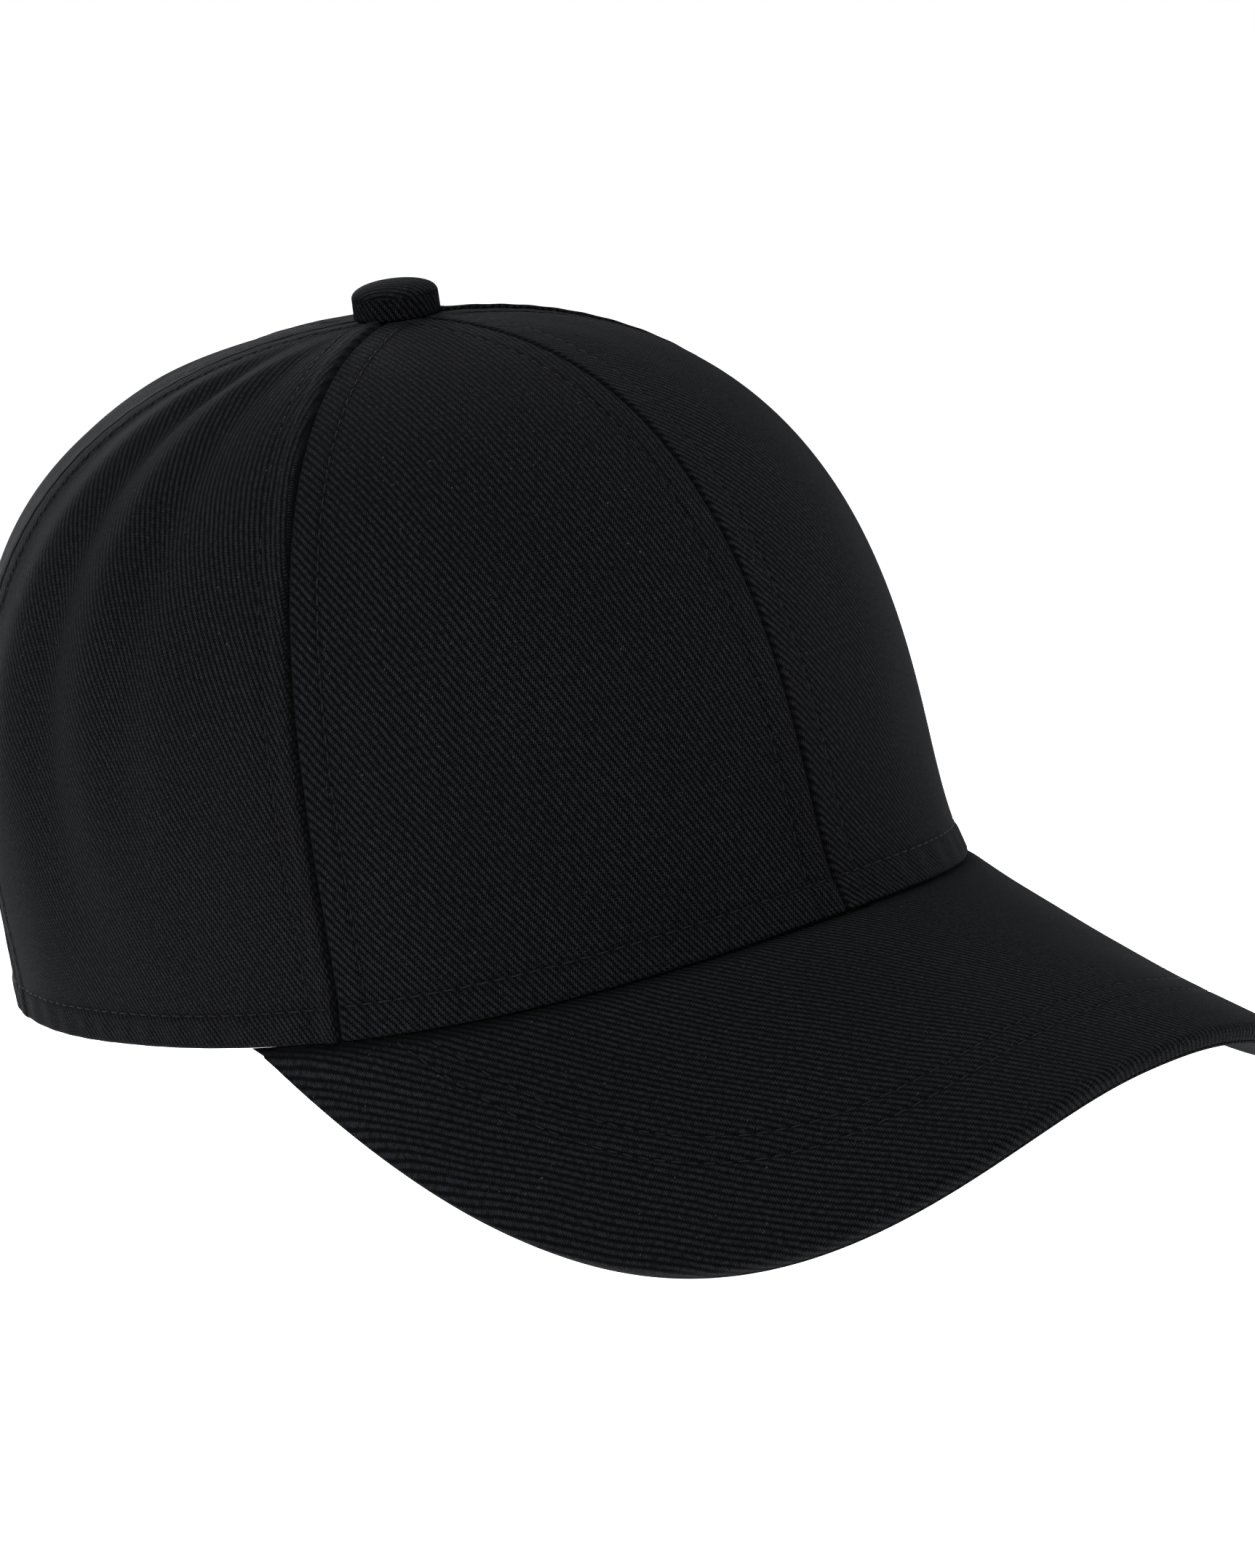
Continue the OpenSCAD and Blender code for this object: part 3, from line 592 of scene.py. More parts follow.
def twill_group():
    """Twill: warp yarns that float over three picks and dive under one, each a step lower than
    the yarn beside it, so that the floats line up in slanting wales. Height is a rounded yarn."""
    tree, g, start, end = new_group(
        "Twill weave",
        [("Cloth", "NodeSocketVector", None), ("End pitch", "NodeSocketFloat", 0.00036),
         ("Pick pitch", "NodeSocketFloat", 0.00054)],
        [("Height", "NodeSocketFloat"), ("Patches", "NodeSocketFloat"), ("Lint", "NodeSocketFloat"),
         ("Flecks", "NodeSocketFloat")])
    cloth = start.outputs["Cloth"]
    slow, fine = g.wander(cloth, 55.0, 0.0011), g.wander(cloth, 700.0, 0.00022)
    bent = g.add("ShaderNodeSeparateXYZ", inputs={0: g.vector("ADD", g.vector("ADD", cloth, slow), fine)})
    ends = g.math("DIVIDE", bent.outputs[0], start.outputs["End pitch"])
    picks = g.math("DIVIDE", bent.outputs[1], start.outputs["Pick pitch"])
    number = g.math("FLOOR", ends)
    across = g.math("SUBTRACT", g.math("SUBTRACT", ends, number), 0.5)
    phase = g.math("FRACT", g.math("DIVIDE", g.math("ADD", picks, number), 4.0))
    t = g.math("DIVIDE", phase, 0.75)
    swing = g.math("ABSOLUTE", g.math("SUBTRACT", g.math("MULTIPLY", t, 2.0), 1.0))
    float_part = g.math("SUBTRACT", 1.0, g.math("POWER", swing, 2.5), clamp=True)
    yarn = g.math("MULTIPLY", float_part, g.parabola(across, 3.4))
    over = g.math("MULTIPLY", g.math("LESS_THAN", t, 1.0), yarn)
    pick = g.math("SUBTRACT", g.math("FRACT", picks), 0.5)
    weave = g.math("MAXIMUM", over, g.math("MULTIPLY", g.parabola(pick, 4.0), 0.3))
    fibres = g.noise(g.vector("MULTIPLY", cloth, (1.0, 0.35, 1.0)), 9000.0)[0]
    height = g.math("ADD", g.math("MULTIPLY", weave, 0.85), g.math("MULTIPLY", fibres, 0.3))
    specks = g.ramp(g.noise(cloth, 1500.0, 1.0)[0], 0.70, 0.76)
    lint = g.math("MULTIPLY", specks, g.ramp(g.noise(cloth, 170.0)[0], 0.5, 0.62))
    g.put(end.inputs["Height"], height)
    g.put(end.inputs["Patches"], g.noise(cloth, 38.0, 3.0)[0])
    g.put(end.inputs["Lint"], lint)
    g.put(end.inputs["Flecks"], g.ramp(g.noise(cloth, 1100.0, 1.0)[0], 0.3, 0.7))
    return tree


def weave_group():
    """Plain cloth: two sets of yarns crossing over and under, as the larger of two rounded waves."""
    tree, g, start, end = new_group(
        "Plain weave",
        [("Cloth", "NodeSocketVector", None), ("Pitch", "NodeSocketFloat", 0.0005),
         ("Openness", "NodeSocketFloat", 0.0)],
        [("Height", "NodeSocketFloat"), ("Gaps", "NodeSocketFloat"), ("Patches", "NodeSocketFloat")])
    cloth = start.outputs["Cloth"]
    bent = g.add("ShaderNodeSeparateXYZ", inputs={0: g.vector("ADD", cloth, g.wander(cloth, 300.0, 0.0003))})
    waves = []
    for axis in (0, 1):
        n = g.math("DIVIDE", bent.outputs[axis], start.outputs["Pitch"])
        yarn = g.parabola(g.math("SUBTRACT", g.math("FRACT", n), 0.5), 4.0)
        waves.append((g.math("FLOOR", n), yarn))
    odd = g.math("ABSOLUTE", g.math("MODULO", g.math("ADD", waves[0][0], waves[1][0]), 2.0))
    up = g.math("MULTIPLY", waves[0][1], g.math("ADD", g.math("MULTIPLY", odd, 0.5), 0.5))
    cross = g.math("MULTIPLY", waves[1][1], g.math("SUBTRACT", 1.0, g.math("MULTIPLY", odd, 0.5)))
    height = g.math("MAXIMUM", up, cross)
    g.put(end.inputs["Height"], height)
    g.put(end.inputs["Gaps"], g.math("LESS_THAN", height, start.outputs["Openness"]))
    g.put(end.inputs["Patches"], g.noise(cloth, 60.0, 3.0)[0])
    return tree


GROUPS = {}


def group(name):
    """A shared node group, made once."""
    if name not in GROUPS:
        GROUPS[name] = {"twill": twill_group, "weave": weave_group}[name]()
    return GROUPS[name]


def colour4(colour, share=1.0):
    """A colour, dimmed or raised by a share, with its fourth value."""
    return (colour[0] * share, colour[1] * share, colour[2] * share, 1.0)


def start_material(name):
    """A new material with its graph, its shader and the piece's flat-cloth position, or the one
    made before under the name, with no graph."""
    material = bpy.data.materials.get(name)
    if material:
        return material, None, None, None
    material = bpy.data.materials.new(name)
    material.use_nodes = True
    shader = material.node_tree.nodes["Principled BSDF"]
    g = Graph(material.node_tree)
    uv = g.add("ShaderNodeUVMap", uv_map="cloth").outputs[0]
    return material, g, shader, uv


def bump(g, shader, height, distance):
    """Raise the surface by a height of 0 to 1 over a distance in metres."""
    node = g.add("ShaderNodeBump", inputs={"Height": height, "Distance": distance})
    g.put(shader.inputs["Normal"], node.outputs[0])


def twill_material(name, cloth):
    """Cotton twill: near-black grooves between lighter yarn tops, slow patches, flecks, pale lint,
    the shade of seams and stitched rows, and a soft sheen."""
    material, g, shader, uv = start_material(name)
    if g is None:
        return material
    pitches = {1: cloth.wale * END_SHARE, 2: cloth.wale * PICK_SHARE}
    node = g.add("ShaderNodeGroup", node_tree=group("twill"), inputs={0: uv, **pitches})
    height, patches, lint, flecks = node.outputs[:4]
    tone = g.mix(g.ramp(height, 0.22, 0.95), colour4(cloth.colour, 0.02), colour4(cloth.colour, 1.9))
    tone = g.mix(g.ramp(patches, 0.3, 0.75), g.vector("SCALE", tone, 0.82), tone)
    tone = g.mix(flecks, g.vector("SCALE", tone, 0.5), g.vector("SCALE", tone, 1.3))
    tone = g.mix(g.math("MULTIPLY", lint, 0.4), tone, colour4(cloth.lint_colour))
    # Painted shade: the colour darkens to an eighth in seam valleys, stitched rows and under the crown's
    # edge.
    groove = g.add("ShaderNodeAttribute", attribute_name="groove").outputs["Fac"]
    tone = g.mix(groove, tone, g.vector("SCALE", tone, 0.12))
    g.put(shader.inputs["Base Color"], tone)
    g.put(shader.inputs["Roughness"], g.math("ADD", 0.72, g.math("MULTIPLY", patches, 0.2)))
    shader.inputs["Specular IOR Level"].default_value = 0.04
    shader.inputs["Sheen Weight"].default_value = cloth.sheen
    shader.inputs["Sheen Roughness"].default_value = 0.42
    shader.inputs["Sheen Tint"].default_value = (0.8, 0.86, 1.0, 1.0)
    bump(g, shader, height, 0.0003)
    return material


def woven_material(name, colour, pitch, low=0.45, openness=0.0, sheen=0.15, depth=0.00015):
    """Plain-woven tape, gauze or lining, darker between its yarns."""
    material, g, shader, uv = start_material(name)
    if g is None:
        return material
    node = g.add("ShaderNodeGroup", node_tree=group("weave"), inputs={0: uv, 1: pitch, 2: openness})
    height, gaps, patches = node.outputs[0], node.outputs[1], node.outputs[2]
    tone = g.mix(g.ramp(height, 0.2, 0.9), colour4(colour, low), colour4(colour, 1.1))
    tone = g.mix(g.ramp(patches, 0.3, 0.7), g.vector("SCALE", tone, 0.85), tone)
    tone = g.mix(g.math("MULTIPLY", gaps, 0.8), tone, colour4(colour, 0.12))
    g.put(shader.inputs["Base Color"], tone)
    g.put(shader.inputs["Roughness"], g.math("ADD", 0.7, g.math("MULTIPLY", patches, 0.25)))
    shader.inputs["Specular IOR Level"].default_value = 0.25
    shader.inputs["Sheen Weight"].default_value = sheen
    shader.inputs["Sheen Roughness"].default_value = 0.4
    bump(g, shader, height, depth)
    return material


def thread_material(cloth):
    """Sewing thread: fine slanting plies wound round it."""
    material, g, shader, uv = start_material("thread")
    if g is None:
        return material
    part = g.add("ShaderNodeSeparateXYZ", inputs={0: uv})
    slant = g.math("ADD", part.outputs[0], g.math("MULTIPLY", part.outputs[1], 0.7))
    ply = g.math("SINE", g.math("MULTIPLY", slant, 15000.0))
    ply = g.math("ADD", g.math("MULTIPLY", ply, 0.5), 0.5)
    patches = g.noise(uv, 300.0)[0]
    tone = g.mix(ply, colour4(cloth.thread_colour, 0.5), colour4(cloth.thread_colour, 1.2))
    g.put(shader.inputs["Base Color"], tone)
    g.put(shader.inputs["Roughness"], g.math("ADD", 0.5, g.math("MULTIPLY", patches, 0.25)))
    shader.inputs["Specular IOR Level"].default_value = 0.15
    shader.inputs["Sheen Weight"].default_value = 0.05
    shader.inputs["Sheen Roughness"].default_value = 0.35
    bump(g, shader, ply, 0.00006)
    return material


def solid_material(name, colour, metallic, roughness, grain, depth, stretch=(1.0, 1.0, 1.0)):
    """Metal, board or foam: a fine grain on object coordinates that dims it, and slow smudges
    that roughen it."""
    material, g, shader, _ = start_material(name)
    if g is None:
        return material
    place = g.add("ShaderNodeTexCoord").outputs["Object"]
    fine = g.noise(g.vector("MULTIPLY", place, stretch), grain, 4.0)[0]
    slow = g.noise(place, 120.0, 2.0)[0]
    tone = g.mix(g.ramp(fine, 0.3, 0.75), colour4(colour, 0.75), colour4(colour, 1.1))
    tone = g.mix(g.ramp(slow, 0.45, 0.75), tone, g.vector("SCALE", tone, 0.8))
    g.put(shader.inputs["Base Color"], tone)
    shader.inputs["Metallic"].default_value = metallic
    g.put(shader.inputs["Roughness"], g.math("ADD", roughness, g.math("MULTIPLY", slow, 0.2)))
    bump(g, shader, fine, depth)
    return material


# ---------------------------------------------------------------- sizes and colours

class CapCloth(bpy.types.PropertyGroup):
    """Colours and scale of the cap's cloths."""
    colour: bpy.props.FloatVectorProperty(
        name="Twill", description="Colour of the twill's raised yarns",
        default=(0.0084, 0.0089, 0.0108), subtype="COLOR", min=0, max=1)
    lint_colour: bpy.props.FloatVectorProperty(
        name="Lint", description="Colour of the pale fibres caught in the twill",
        default=(0.09, 0.095, 0.105), subtype="COLOR", min=0, max=1)
    thread_colour: bpy.props.FloatVectorProperty(
        name="Thread", description="Colour of the sewing thread",
        default=(0.0040, 0.0046, 0.0062), subtype="COLOR", min=0, max=1)
    lining_colour: bpy.props.FloatVectorProperty(
        name="Lining", description="Colour of the tapes and the sweatband",
        default=(0.016, 0.016, 0.018), subtype="COLOR", min=0, max=1)
    buckram_colour: bpy.props.FloatVectorProperty(
        name="Buckram", description="Colour of the stiffener behind the front panels",
        default=(0.62, 0.61, 0.57), subtype="COLOR", min=0, max=1)
    wale: bpy.props.FloatProperty(
        name="Wale pitch", description="Distance between two wales of the twill",
        default=0.00106, min=0.0006, max=0.003, unit="LENGTH", precision=5)
    sheen: bpy.props.FloatProperty(
        name="Sheen", description="Strength of the soft light at the cloth's edges",
        default=0.02, min=0, max=1, subtype="FACTOR")


class CapSewing(bpy.types.PropertyGroup):
    """Sizes of the cap's stitching."""
    stitch_pitch: bpy.props.FloatProperty(
        name="Stitch pitch", description="Distance from one stitch to the next",
        default=0.0031, min=0.0015, max=0.006, unit="LENGTH", precision=5)
    stitch_length: bpy.props.FloatProperty(
        name="Stitch length", description="Length of one stitch on the surface",
        default=0.0026, min=0.001, max=0.005, unit="LENGTH", precision=5)
    thread_width: bpy.props.FloatProperty(
        name="Thread", description="Width of the sewing thread",
        default=0.00034, min=0.0002, max=0.001, unit="LENGTH", precision=5)
    seam_row: bpy.props.FloatProperty(
        name="Seam rows", description="Distance of the topstitching from a panel seam",
        default=0.0058, min=0.002, max=0.01, unit="LENGTH", precision=5)
    hem_row: bpy.props.FloatProperty(
        name="Hem row", description="Distance of the topstitching from the crown's edge",
        default=0.0060, min=0.002, max=0.01, unit="LENGTH", precision=5)
    brim_outer_row: bpy.props.FloatProperty(
        name="Brim outer row", description="Distance of the outer stitched row from the brim's edge",
        default=0.0174, min=0.005, max=0.03, unit="LENGTH", precision=5)
    brim_inner_row: bpy.props.FloatProperty(
        name="Brim inner row", description="Distance of the inner stitched row from the brim's edge",
        default=0.0225, min=0.005, max=0.04, unit="LENGTH", precision=5)


class CapStage(bpy.types.PropertyGroup):
    """Camera and light."""
    azimuth: bpy.props.FloatProperty(
        name="Azimuth", description="Camera's turn from the front to the wearer's right",
        default=math.radians(39.896), subtype="ANGLE")
    elevation: bpy.props.FloatProperty(
        name="Elevation", description="Camera's height above the horizon",
        default=math.radians(9.469), subtype="ANGLE")
    roll: bpy.props.FloatProperty(
        name="Roll", description="Camera's turn about its own axis",
        default=math.radians(-10.160), subtype="ANGLE")
    distance: bpy.props.FloatProperty(
        name="Distance", description="Camera's distance from the head opening",
        default=0.931437, min=0.2, unit="LENGTH")
    right: bpy.props.FloatProperty(
        name="Right", description="Camera's step to its own right",
        default=0.029567, unit="LENGTH", precision=5)
    up: bpy.props.FloatProperty(
        name="Up", description="Camera's step up its own frame",
        default=0.026557, unit="LENGTH", precision=5)
    lens: bpy.props.FloatProperty(
        name="Lens", description="Focal length in millimetres", default=110.503, min=20, max=300)
    key: bpy.props.FloatProperty(
        name="Key light", description="Power of the large light over the wearer's right, in watts",
        default=20.0, min=0)
    surround: bpy.props.FloatProperty(
        name="Surround", description="Strength of the light from all round",
        default=0.19, min=0, max=1, subtype="FACTOR")


# ---------------------------------------------------------------- the pieces' operators

def settings():
    """The scene's cloth, sewing and stage settings."""
    scene = bpy.context.scene
    return scene.cap_cloth, scene.cap_sewing, scene.cap_stage


def crown_twill():
    """The twill of the panels, the brim, the strap and its tab."""
    return twill_material("crown_twill", settings()[0])


OUTER_ROWS, INNER_ROWS = 224, 34


def panel_rings(offsets, starts, middle, side, grain, sewing):
    """Columns of a panel from its lower edge up to the button's hole on the outer face and back
    down on the inner face, and their place in the flat cloth: the way from the top along the
    column, fanned out by the way across, skewed a little more towards its ends, as cloth is
    when it is pulled over a form, and turned by the grain's angle."""
    a = middle + side * offsets
    top = share_at_radius(a, HOLE_R)

    def heights(count):
        """Height shares of each column's rows, closer together low down and at the top."""
        t = np.linspace(0, 1, count) ** 1.35
        low, high = np.arcsin(starts)[:, None], np.arcsin(top)[:, None]
        return np.sin(low + (high - low) * t)

    h = heights(OUTER_ROWS)
    columns = np.broadcast_to(a[:, None], h.shape)
    outer, _ = panel_surface(columns, h, middle, sewing)
    hi = heights(INNER_ROWS)[:, ::-1]
    ai = np.broadcast_to(a[:, None], hi.shape)
    inner = crown_in(ai, hi, PANEL_T - soft_relief(ai, hi))

    def flat(columns, h, points, from_top):
        """The flat cloth under a grid of points, whose rows start or end at the top."""
        step = np.linalg.norm(np.diff(points, axis=1), axis=-1)
        if from_top:
            rho = np.concatenate([np.zeros((len(h), 1)), np.cumsum(step, 1)], 1)
        else:
            rho = np.concatenate([np.cumsum(step[:, ::-1], 1)[:, ::-1], np.zeros((len(h), 1))], 1)
        rho = rho + HOLE_R
        per_degree = (crown_frame(columns, h)[2] + crown_frame(np.full_like(columns, middle), h)[2]) / 2
        turn = (middle - columns) * per_degree / rho
        x, y = rho * np.sin(turn), -rho * np.cos(turn)
        return on_the_grain(x - SKEW * (y + rho.max() / 2) ** 2 / 2, y, grain)

    uv = np.concatenate([flat(columns, h, outer, False), flat(ai, hi, inner, True)], 1)
    # Painted shade on the outer face, none on the inner face.
    shade = np.concatenate([panel_painted_shade(columns, h, middle, sewing), np.zeros(hi.shape)], 1)
    return np.concatenate([outer, inner], 1), uv, shade


class CAP_OT_panels(bpy.types.Operator):
    """Sew the six crown panels"""
    bl_idname = "cap.panels"
    bl_label = "Crown panels"

    def execute(self, context):
        _, sewing, _ = settings()
        material = crown_twill()
        t = np.linspace(-1, 1, 150)
        plain = PANEL_HALF * (t + 0.6 * np.sin(np.pi * t) / np.pi)
        for name, middle, grain, area, under in (
                ("front_right", 30, FRONT_GRAIN, 0.0107, ["front_right_buckram"]),
                ("front_left", -30, FRONT_GRAIN, 0.0107, ["front_left_buckram"]),
                ("side_right", 90, SIDE_GRAIN, 0.0126, []),
                ("side_left", -90, SIDE_GRAIN, 0.0126, [])):
            rings, uv, shade = panel_rings(plain, np.zeros(len(plain)), middle, 1, grain, sewing)
            piece = loft(name + "_cloth", rings, uv, material, "crown", shade)
            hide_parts(name + "_panel")
        p = np.linspace(0, 1, 66)[:-1]
        q = np.linspace(0, 1, 96)
        lower = 2 * PANEL_HALF - (2 * PANEL_HALF - ARCH_HALF) * (p - 0.5 * np.sin(np.pi * p) / np.pi)
        turn = np.radians(90 * (q + 0.5 * np.sin(np.pi * q) / np.pi))
        off = np.concatenate([lower, ARCH_HALF * np.cos(turn)])
        starts = np.concatenate([np.zeros(len(lower)), arch_share(ARCH_HALF * np.cos(turn))])
        for name, side in (("back_right", 1), ("back_left", -1)):
            rings, uv, shade = panel_rings(PANEL_HALF - off, starts, side * 150, side, BACK_GRAIN, sewing)
            piece = loft(name + "_cloth", rings, uv, material, "crown", shade)
            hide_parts(name + "_panel")
        return {"FINISHED"}


def crown_strip(name, a, h, depth, thickness, uv, material, body="crown", swell=0.0):
    """A closed strip inside the crown from grids of angle and height share, stations first: the
    outer face one way, the inner face back, the inner face swollen between its two edges."""
    across = np.linspace(0, 1, a.shape[1])
    plump = swell * np.sin(np.pi * across) ** 0.5
    outer = crown_in(a, h, np.broadcast_to(depth, a.shape))
    inner = crown_in(a, h, np.broadcast_to(depth, a.shape) + thickness + plump)
    rings = np.concatenate([outer, inner[:, ::-1]], 1)
    return loft(name, rings, np.concatenate([uv, uv[:, ::-1]], 1), material, body)


class CAP_OT_linings(bpy.types.Operator):
    """Sew the buckram, the seam tapes and the arch's facing inside the crown"""
    bl_idname = "cap.linings"
    bl_label = "Linings"

    def execute(self, context):
        cloth, _, _ = settings()
        buckram = woven_material("buckram_gauze", cloth.buckram_colour, 0.0009, low=0.5, openness=0.35,
                                 sheen=0.05, depth=0.00025)
        tape = woven_material("seam_tape_weave", cloth.lining_colour, 0.0005)
        rows = np.linspace(0, 1, 60) ** 1.2
        for name, middle in (("front_right", 30), ("front_left", -30)):
            columns = np.linspace(-PANEL_HALF, PANEL_HALF, 46) + middle
            top = np.arcsin(share_at_radius(columns, HOLE_R))
            h = np.sin(top[:, None] * rows)
            a = np.broadcast_to(columns[:, None], h.shape)
            uv = pairs((a - middle) * crown_frame(a, h)[2], rows * 150)
            piece = crown_strip(name + "_gauze", a, h, PANEL_T, BUCKRAM_T - 0.05, uv, buckram)
            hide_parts(name + "_buckram")
        # The six tapes end where they would meet side by side.
        stop = 6 * TAPE_W / (2 * math.pi) + 2
        for name, a0, low in (("centre_front", 0, 1), ("right_front", 60, 1), ("left_front", -60, 1),
                              ("right_side", 120, 1), ("left_side", -120, 1),
                              ("centre_back", 180, ARCH_H + 2)):
            start = float(share_of(a0, low))
            end = math.asin(float(share_at_radius(a0, stop)))
            h1 = np.sin(math.asin(start) + (end - math.asin(start)) * np.linspace(0, 1, 120) ** 1.2)
            per_degree = crown_frame(np.full_like(h1, a0, dtype=float), h1)[2]
            j = np.linspace(-1, 1, 13)
            a = a0 + j[None] * (TAPE_W / 2 / per_degree)[:, None]
            h = np.broadcast_to(h1[:, None], a.shape)
            way = way_along(crown_at(float(a0), h1))
            uv = pairs(j[None] * TAPE_W / 2, way[:, None])
            piece = crown_strip(name + "_binding", a, h, TAPE_DEPTH, TAPE_T - 0.15, uv, tape,
                                swell=0.15)
            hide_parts(name + "_tape")
        turn = np.radians(np.linspace(0, 180, 121))
        t = np.linspace(0, 1, 12)
        wide = ARCH_HALF + 0.4 + t[None] * degrees_of(FACING_W, HALF_WIDTH)
        a = 180 - wide * np.cos(turn)[:, None]
        h = 0.008 + (ARCH_H / CROWN_HEIGHT + t[None] * FACING_W / CROWN_HEIGHT) * np.sin(turn)[:, None]
        uv = pairs(t[None] * FACING_W, np.degrees(turn)[:, None] * 0.8)
        piece = crown_strip("arch_binding", a, h, FACING_DEPTH, FACING_T - 0.05, uv, tape)
        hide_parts("arch_facing")
        return {"FINISHED"}


def band_depth(a):
    """How far inside the crown's face the sweatband's outer face lies: further behind, past the strap."""
    return BAND_FRONT + (BAND_BACK - BAND_FRONT) * smooth((np.abs(a) - 92) / 26)


def band_at(a, x, y):
    """A point of the sweatband: x inwards from its outer face and y up from its lower edge."""
    return crown_in(a, share_of(a, BAND_LIFT + y), band_depth(a) + x)


def band_piece(name, section, half, gathers, material):
    """A strip round the head opening that carries one closed section, with slow gathers on its inner part."""
    angles = np.linspace(-half, half, 300)
    a = np.broadcast_to(angles[:, None], (len(angles), len(section)))
    x, y = section[:, 0][None], section[:, 1][None]
    ripple = gathers * (np.sin(a * 0.55) + 0.6 * np.sin(a * 1.3 + 1)) * smooth((x - 1) / 0.8)
    ripple = ripple * np.sin(np.clip(y / BAND_H, 0, 1) * np.pi)
    rings = band_at(a, x + ripple, y + 0 * a)
    uv = pairs(angles[:, None] * 1.6, way_along(section)[None])
    return loft(name, rings, uv, material, "crown")


class CAP_OT_sweatband(bpy.types.Operator):
    """Sew the folded sweatband with its foam strip and its stitching"""
    bl_idname = "cap.sweatband"
    bl_label = "Sweatband"

    def execute(self, context):
        cloth, sewing, _ = settings()
        half = 180 - ARCH_HALF
        fold = np.radians(np.linspace(0, 180, 15))
        mid, c = BAND_T / 2, BAND_CLOTH
        up = np.linspace(0, 1, 26)[1:]
        inner_leg, outer_leg = mid + (BAND_H - mid) * up, mid + (BAND_H - 2 - mid) * up
        legs = [
            pairs(BAND_T, inner_leg)[::-1],
            np.stack([mid + mid * np.cos(fold), mid - mid * np.sin(fold)], -1),
            pairs(0.0, outer_leg),
            pairs(c, outer_leg)[::-1],
            np.stack([mid - (mid - c) * np.cos(fold), mid - (mid - c) * np.sin(fold)], -1),
            pairs(BAND_T - c, inner_leg),
        ]
        material = woven_material("sweatband_weave", cloth.lining_colour, 0.0006, sheen=0.1)
        band = band_piece("sweatband_cloth", np.concatenate(legs), half, 0.12, material)
        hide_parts("sweatband")
        foam = solid_material("foam", (0.55, 0.55, 0.5), 0.0, 0.75, 2600.0, 0.0002)
        slack = 0.15
        ys = np.linspace(c + slack, BAND_H - 3, 14)
        section = np.concatenate([pairs(BAND_T - c - slack, ys), pairs(c + slack, ys[::-1])])
        filling = band_piece("sweatband_filling", section, half - 0.5, 0.0, foam)
        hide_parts("sweatband_foam")
        rng = np.random.default_rng(5)
        a = np.linspace(-half + 1, half - 1, 700)
        rows = []
        for y in (2.6, 5.0, BAND_H - 2.4):
            path = band_at(a, np.full_like(a, BAND_T + 0.02), np.full_like(a, y))
            rows.append(stitches(path, -crown_frame(a, share_of(a, y))[1], sewing, rng))
        thread_piece("sweatband_stitching", rows, thread_material(cloth), "crown")
        return {"FINISHED"}


def brim_flat(rings, face):
    """The brim's flat cloth: the way across unrolled from the circle that the brim is bent to, and
    its depth front to back; past the face's last point each way out runs on straight at its own
    length round the rolled edge. All of it is turned so that the wales run nearly straight out."""
    flat = np.stack([BRIM_BEND * np.arcsin(rings[..., 0] / BRIM_BEND), rings[..., 1]], -1)
    out = unit(flat[:, face - 1] - flat[:, face - 3])
    beyond = np.cumsum(np.linalg.norm(np.diff(rings[:, face - 1:], axis=1), axis=-1), 1)
    flat[:, face:] = flat[:, [face - 1]] + out[:, None] * beyond[..., None]
    return on_the_grain(flat[..., 0], flat[..., 1], BRIM_GRAIN)


def brim_relief(v, s, sewing):
    """The brim's stitched grooves, the swell between them, its slow unevenness, and the dip where
    it is sewn in under the crown's edge."""
    e = (1 - s) * brim_way(v) * edge_slant(v)
    rows = (sewing.brim_outer_row / MM, sewing.brim_inner_row / MM)
    grooves = sum(-0.14 * bell(e - row, 0.5) for row in rows)
    swell = 0.04 * smooth((e - rows[0]) / 1.2) * smooth((rows[1] - e) / 1.2)
    slow = 0.12 * np.sin(7 * v + 2) * np.sin(9 * s + 1) + 0.06 * np.sin(23 * v) * np.sin(13 * s)
    tuck = -0.45 * bell(np.maximum(s, 0) * brim_reach(v), 1.3) * smooth((s + 0.02) / 0.02)
    return (grooves + swell) * smooth(s / 0.03) + slow * smooth(s / 0.2) * smooth((1 - s) / 0.1) + tuck


def brim_painted_shade(v, s, sewing):
    """Painted shade on the brim's colour, 0 to 1: full in the tuck under the crown's edge, where the crown
    shades it, and less in the stitched rows."""
    e = (1 - s) * brim_way(v) * edge_slant(v)
    rows = np.maximum(bell(e - sewing.brim_outer_row / MM, 0.5), bell(e - sewing.brim_inner_row / MM, 0.5))
    return np.maximum(bell(np.maximum(s, 0) * brim_reach(v), 2.0), 0.6 * rows)


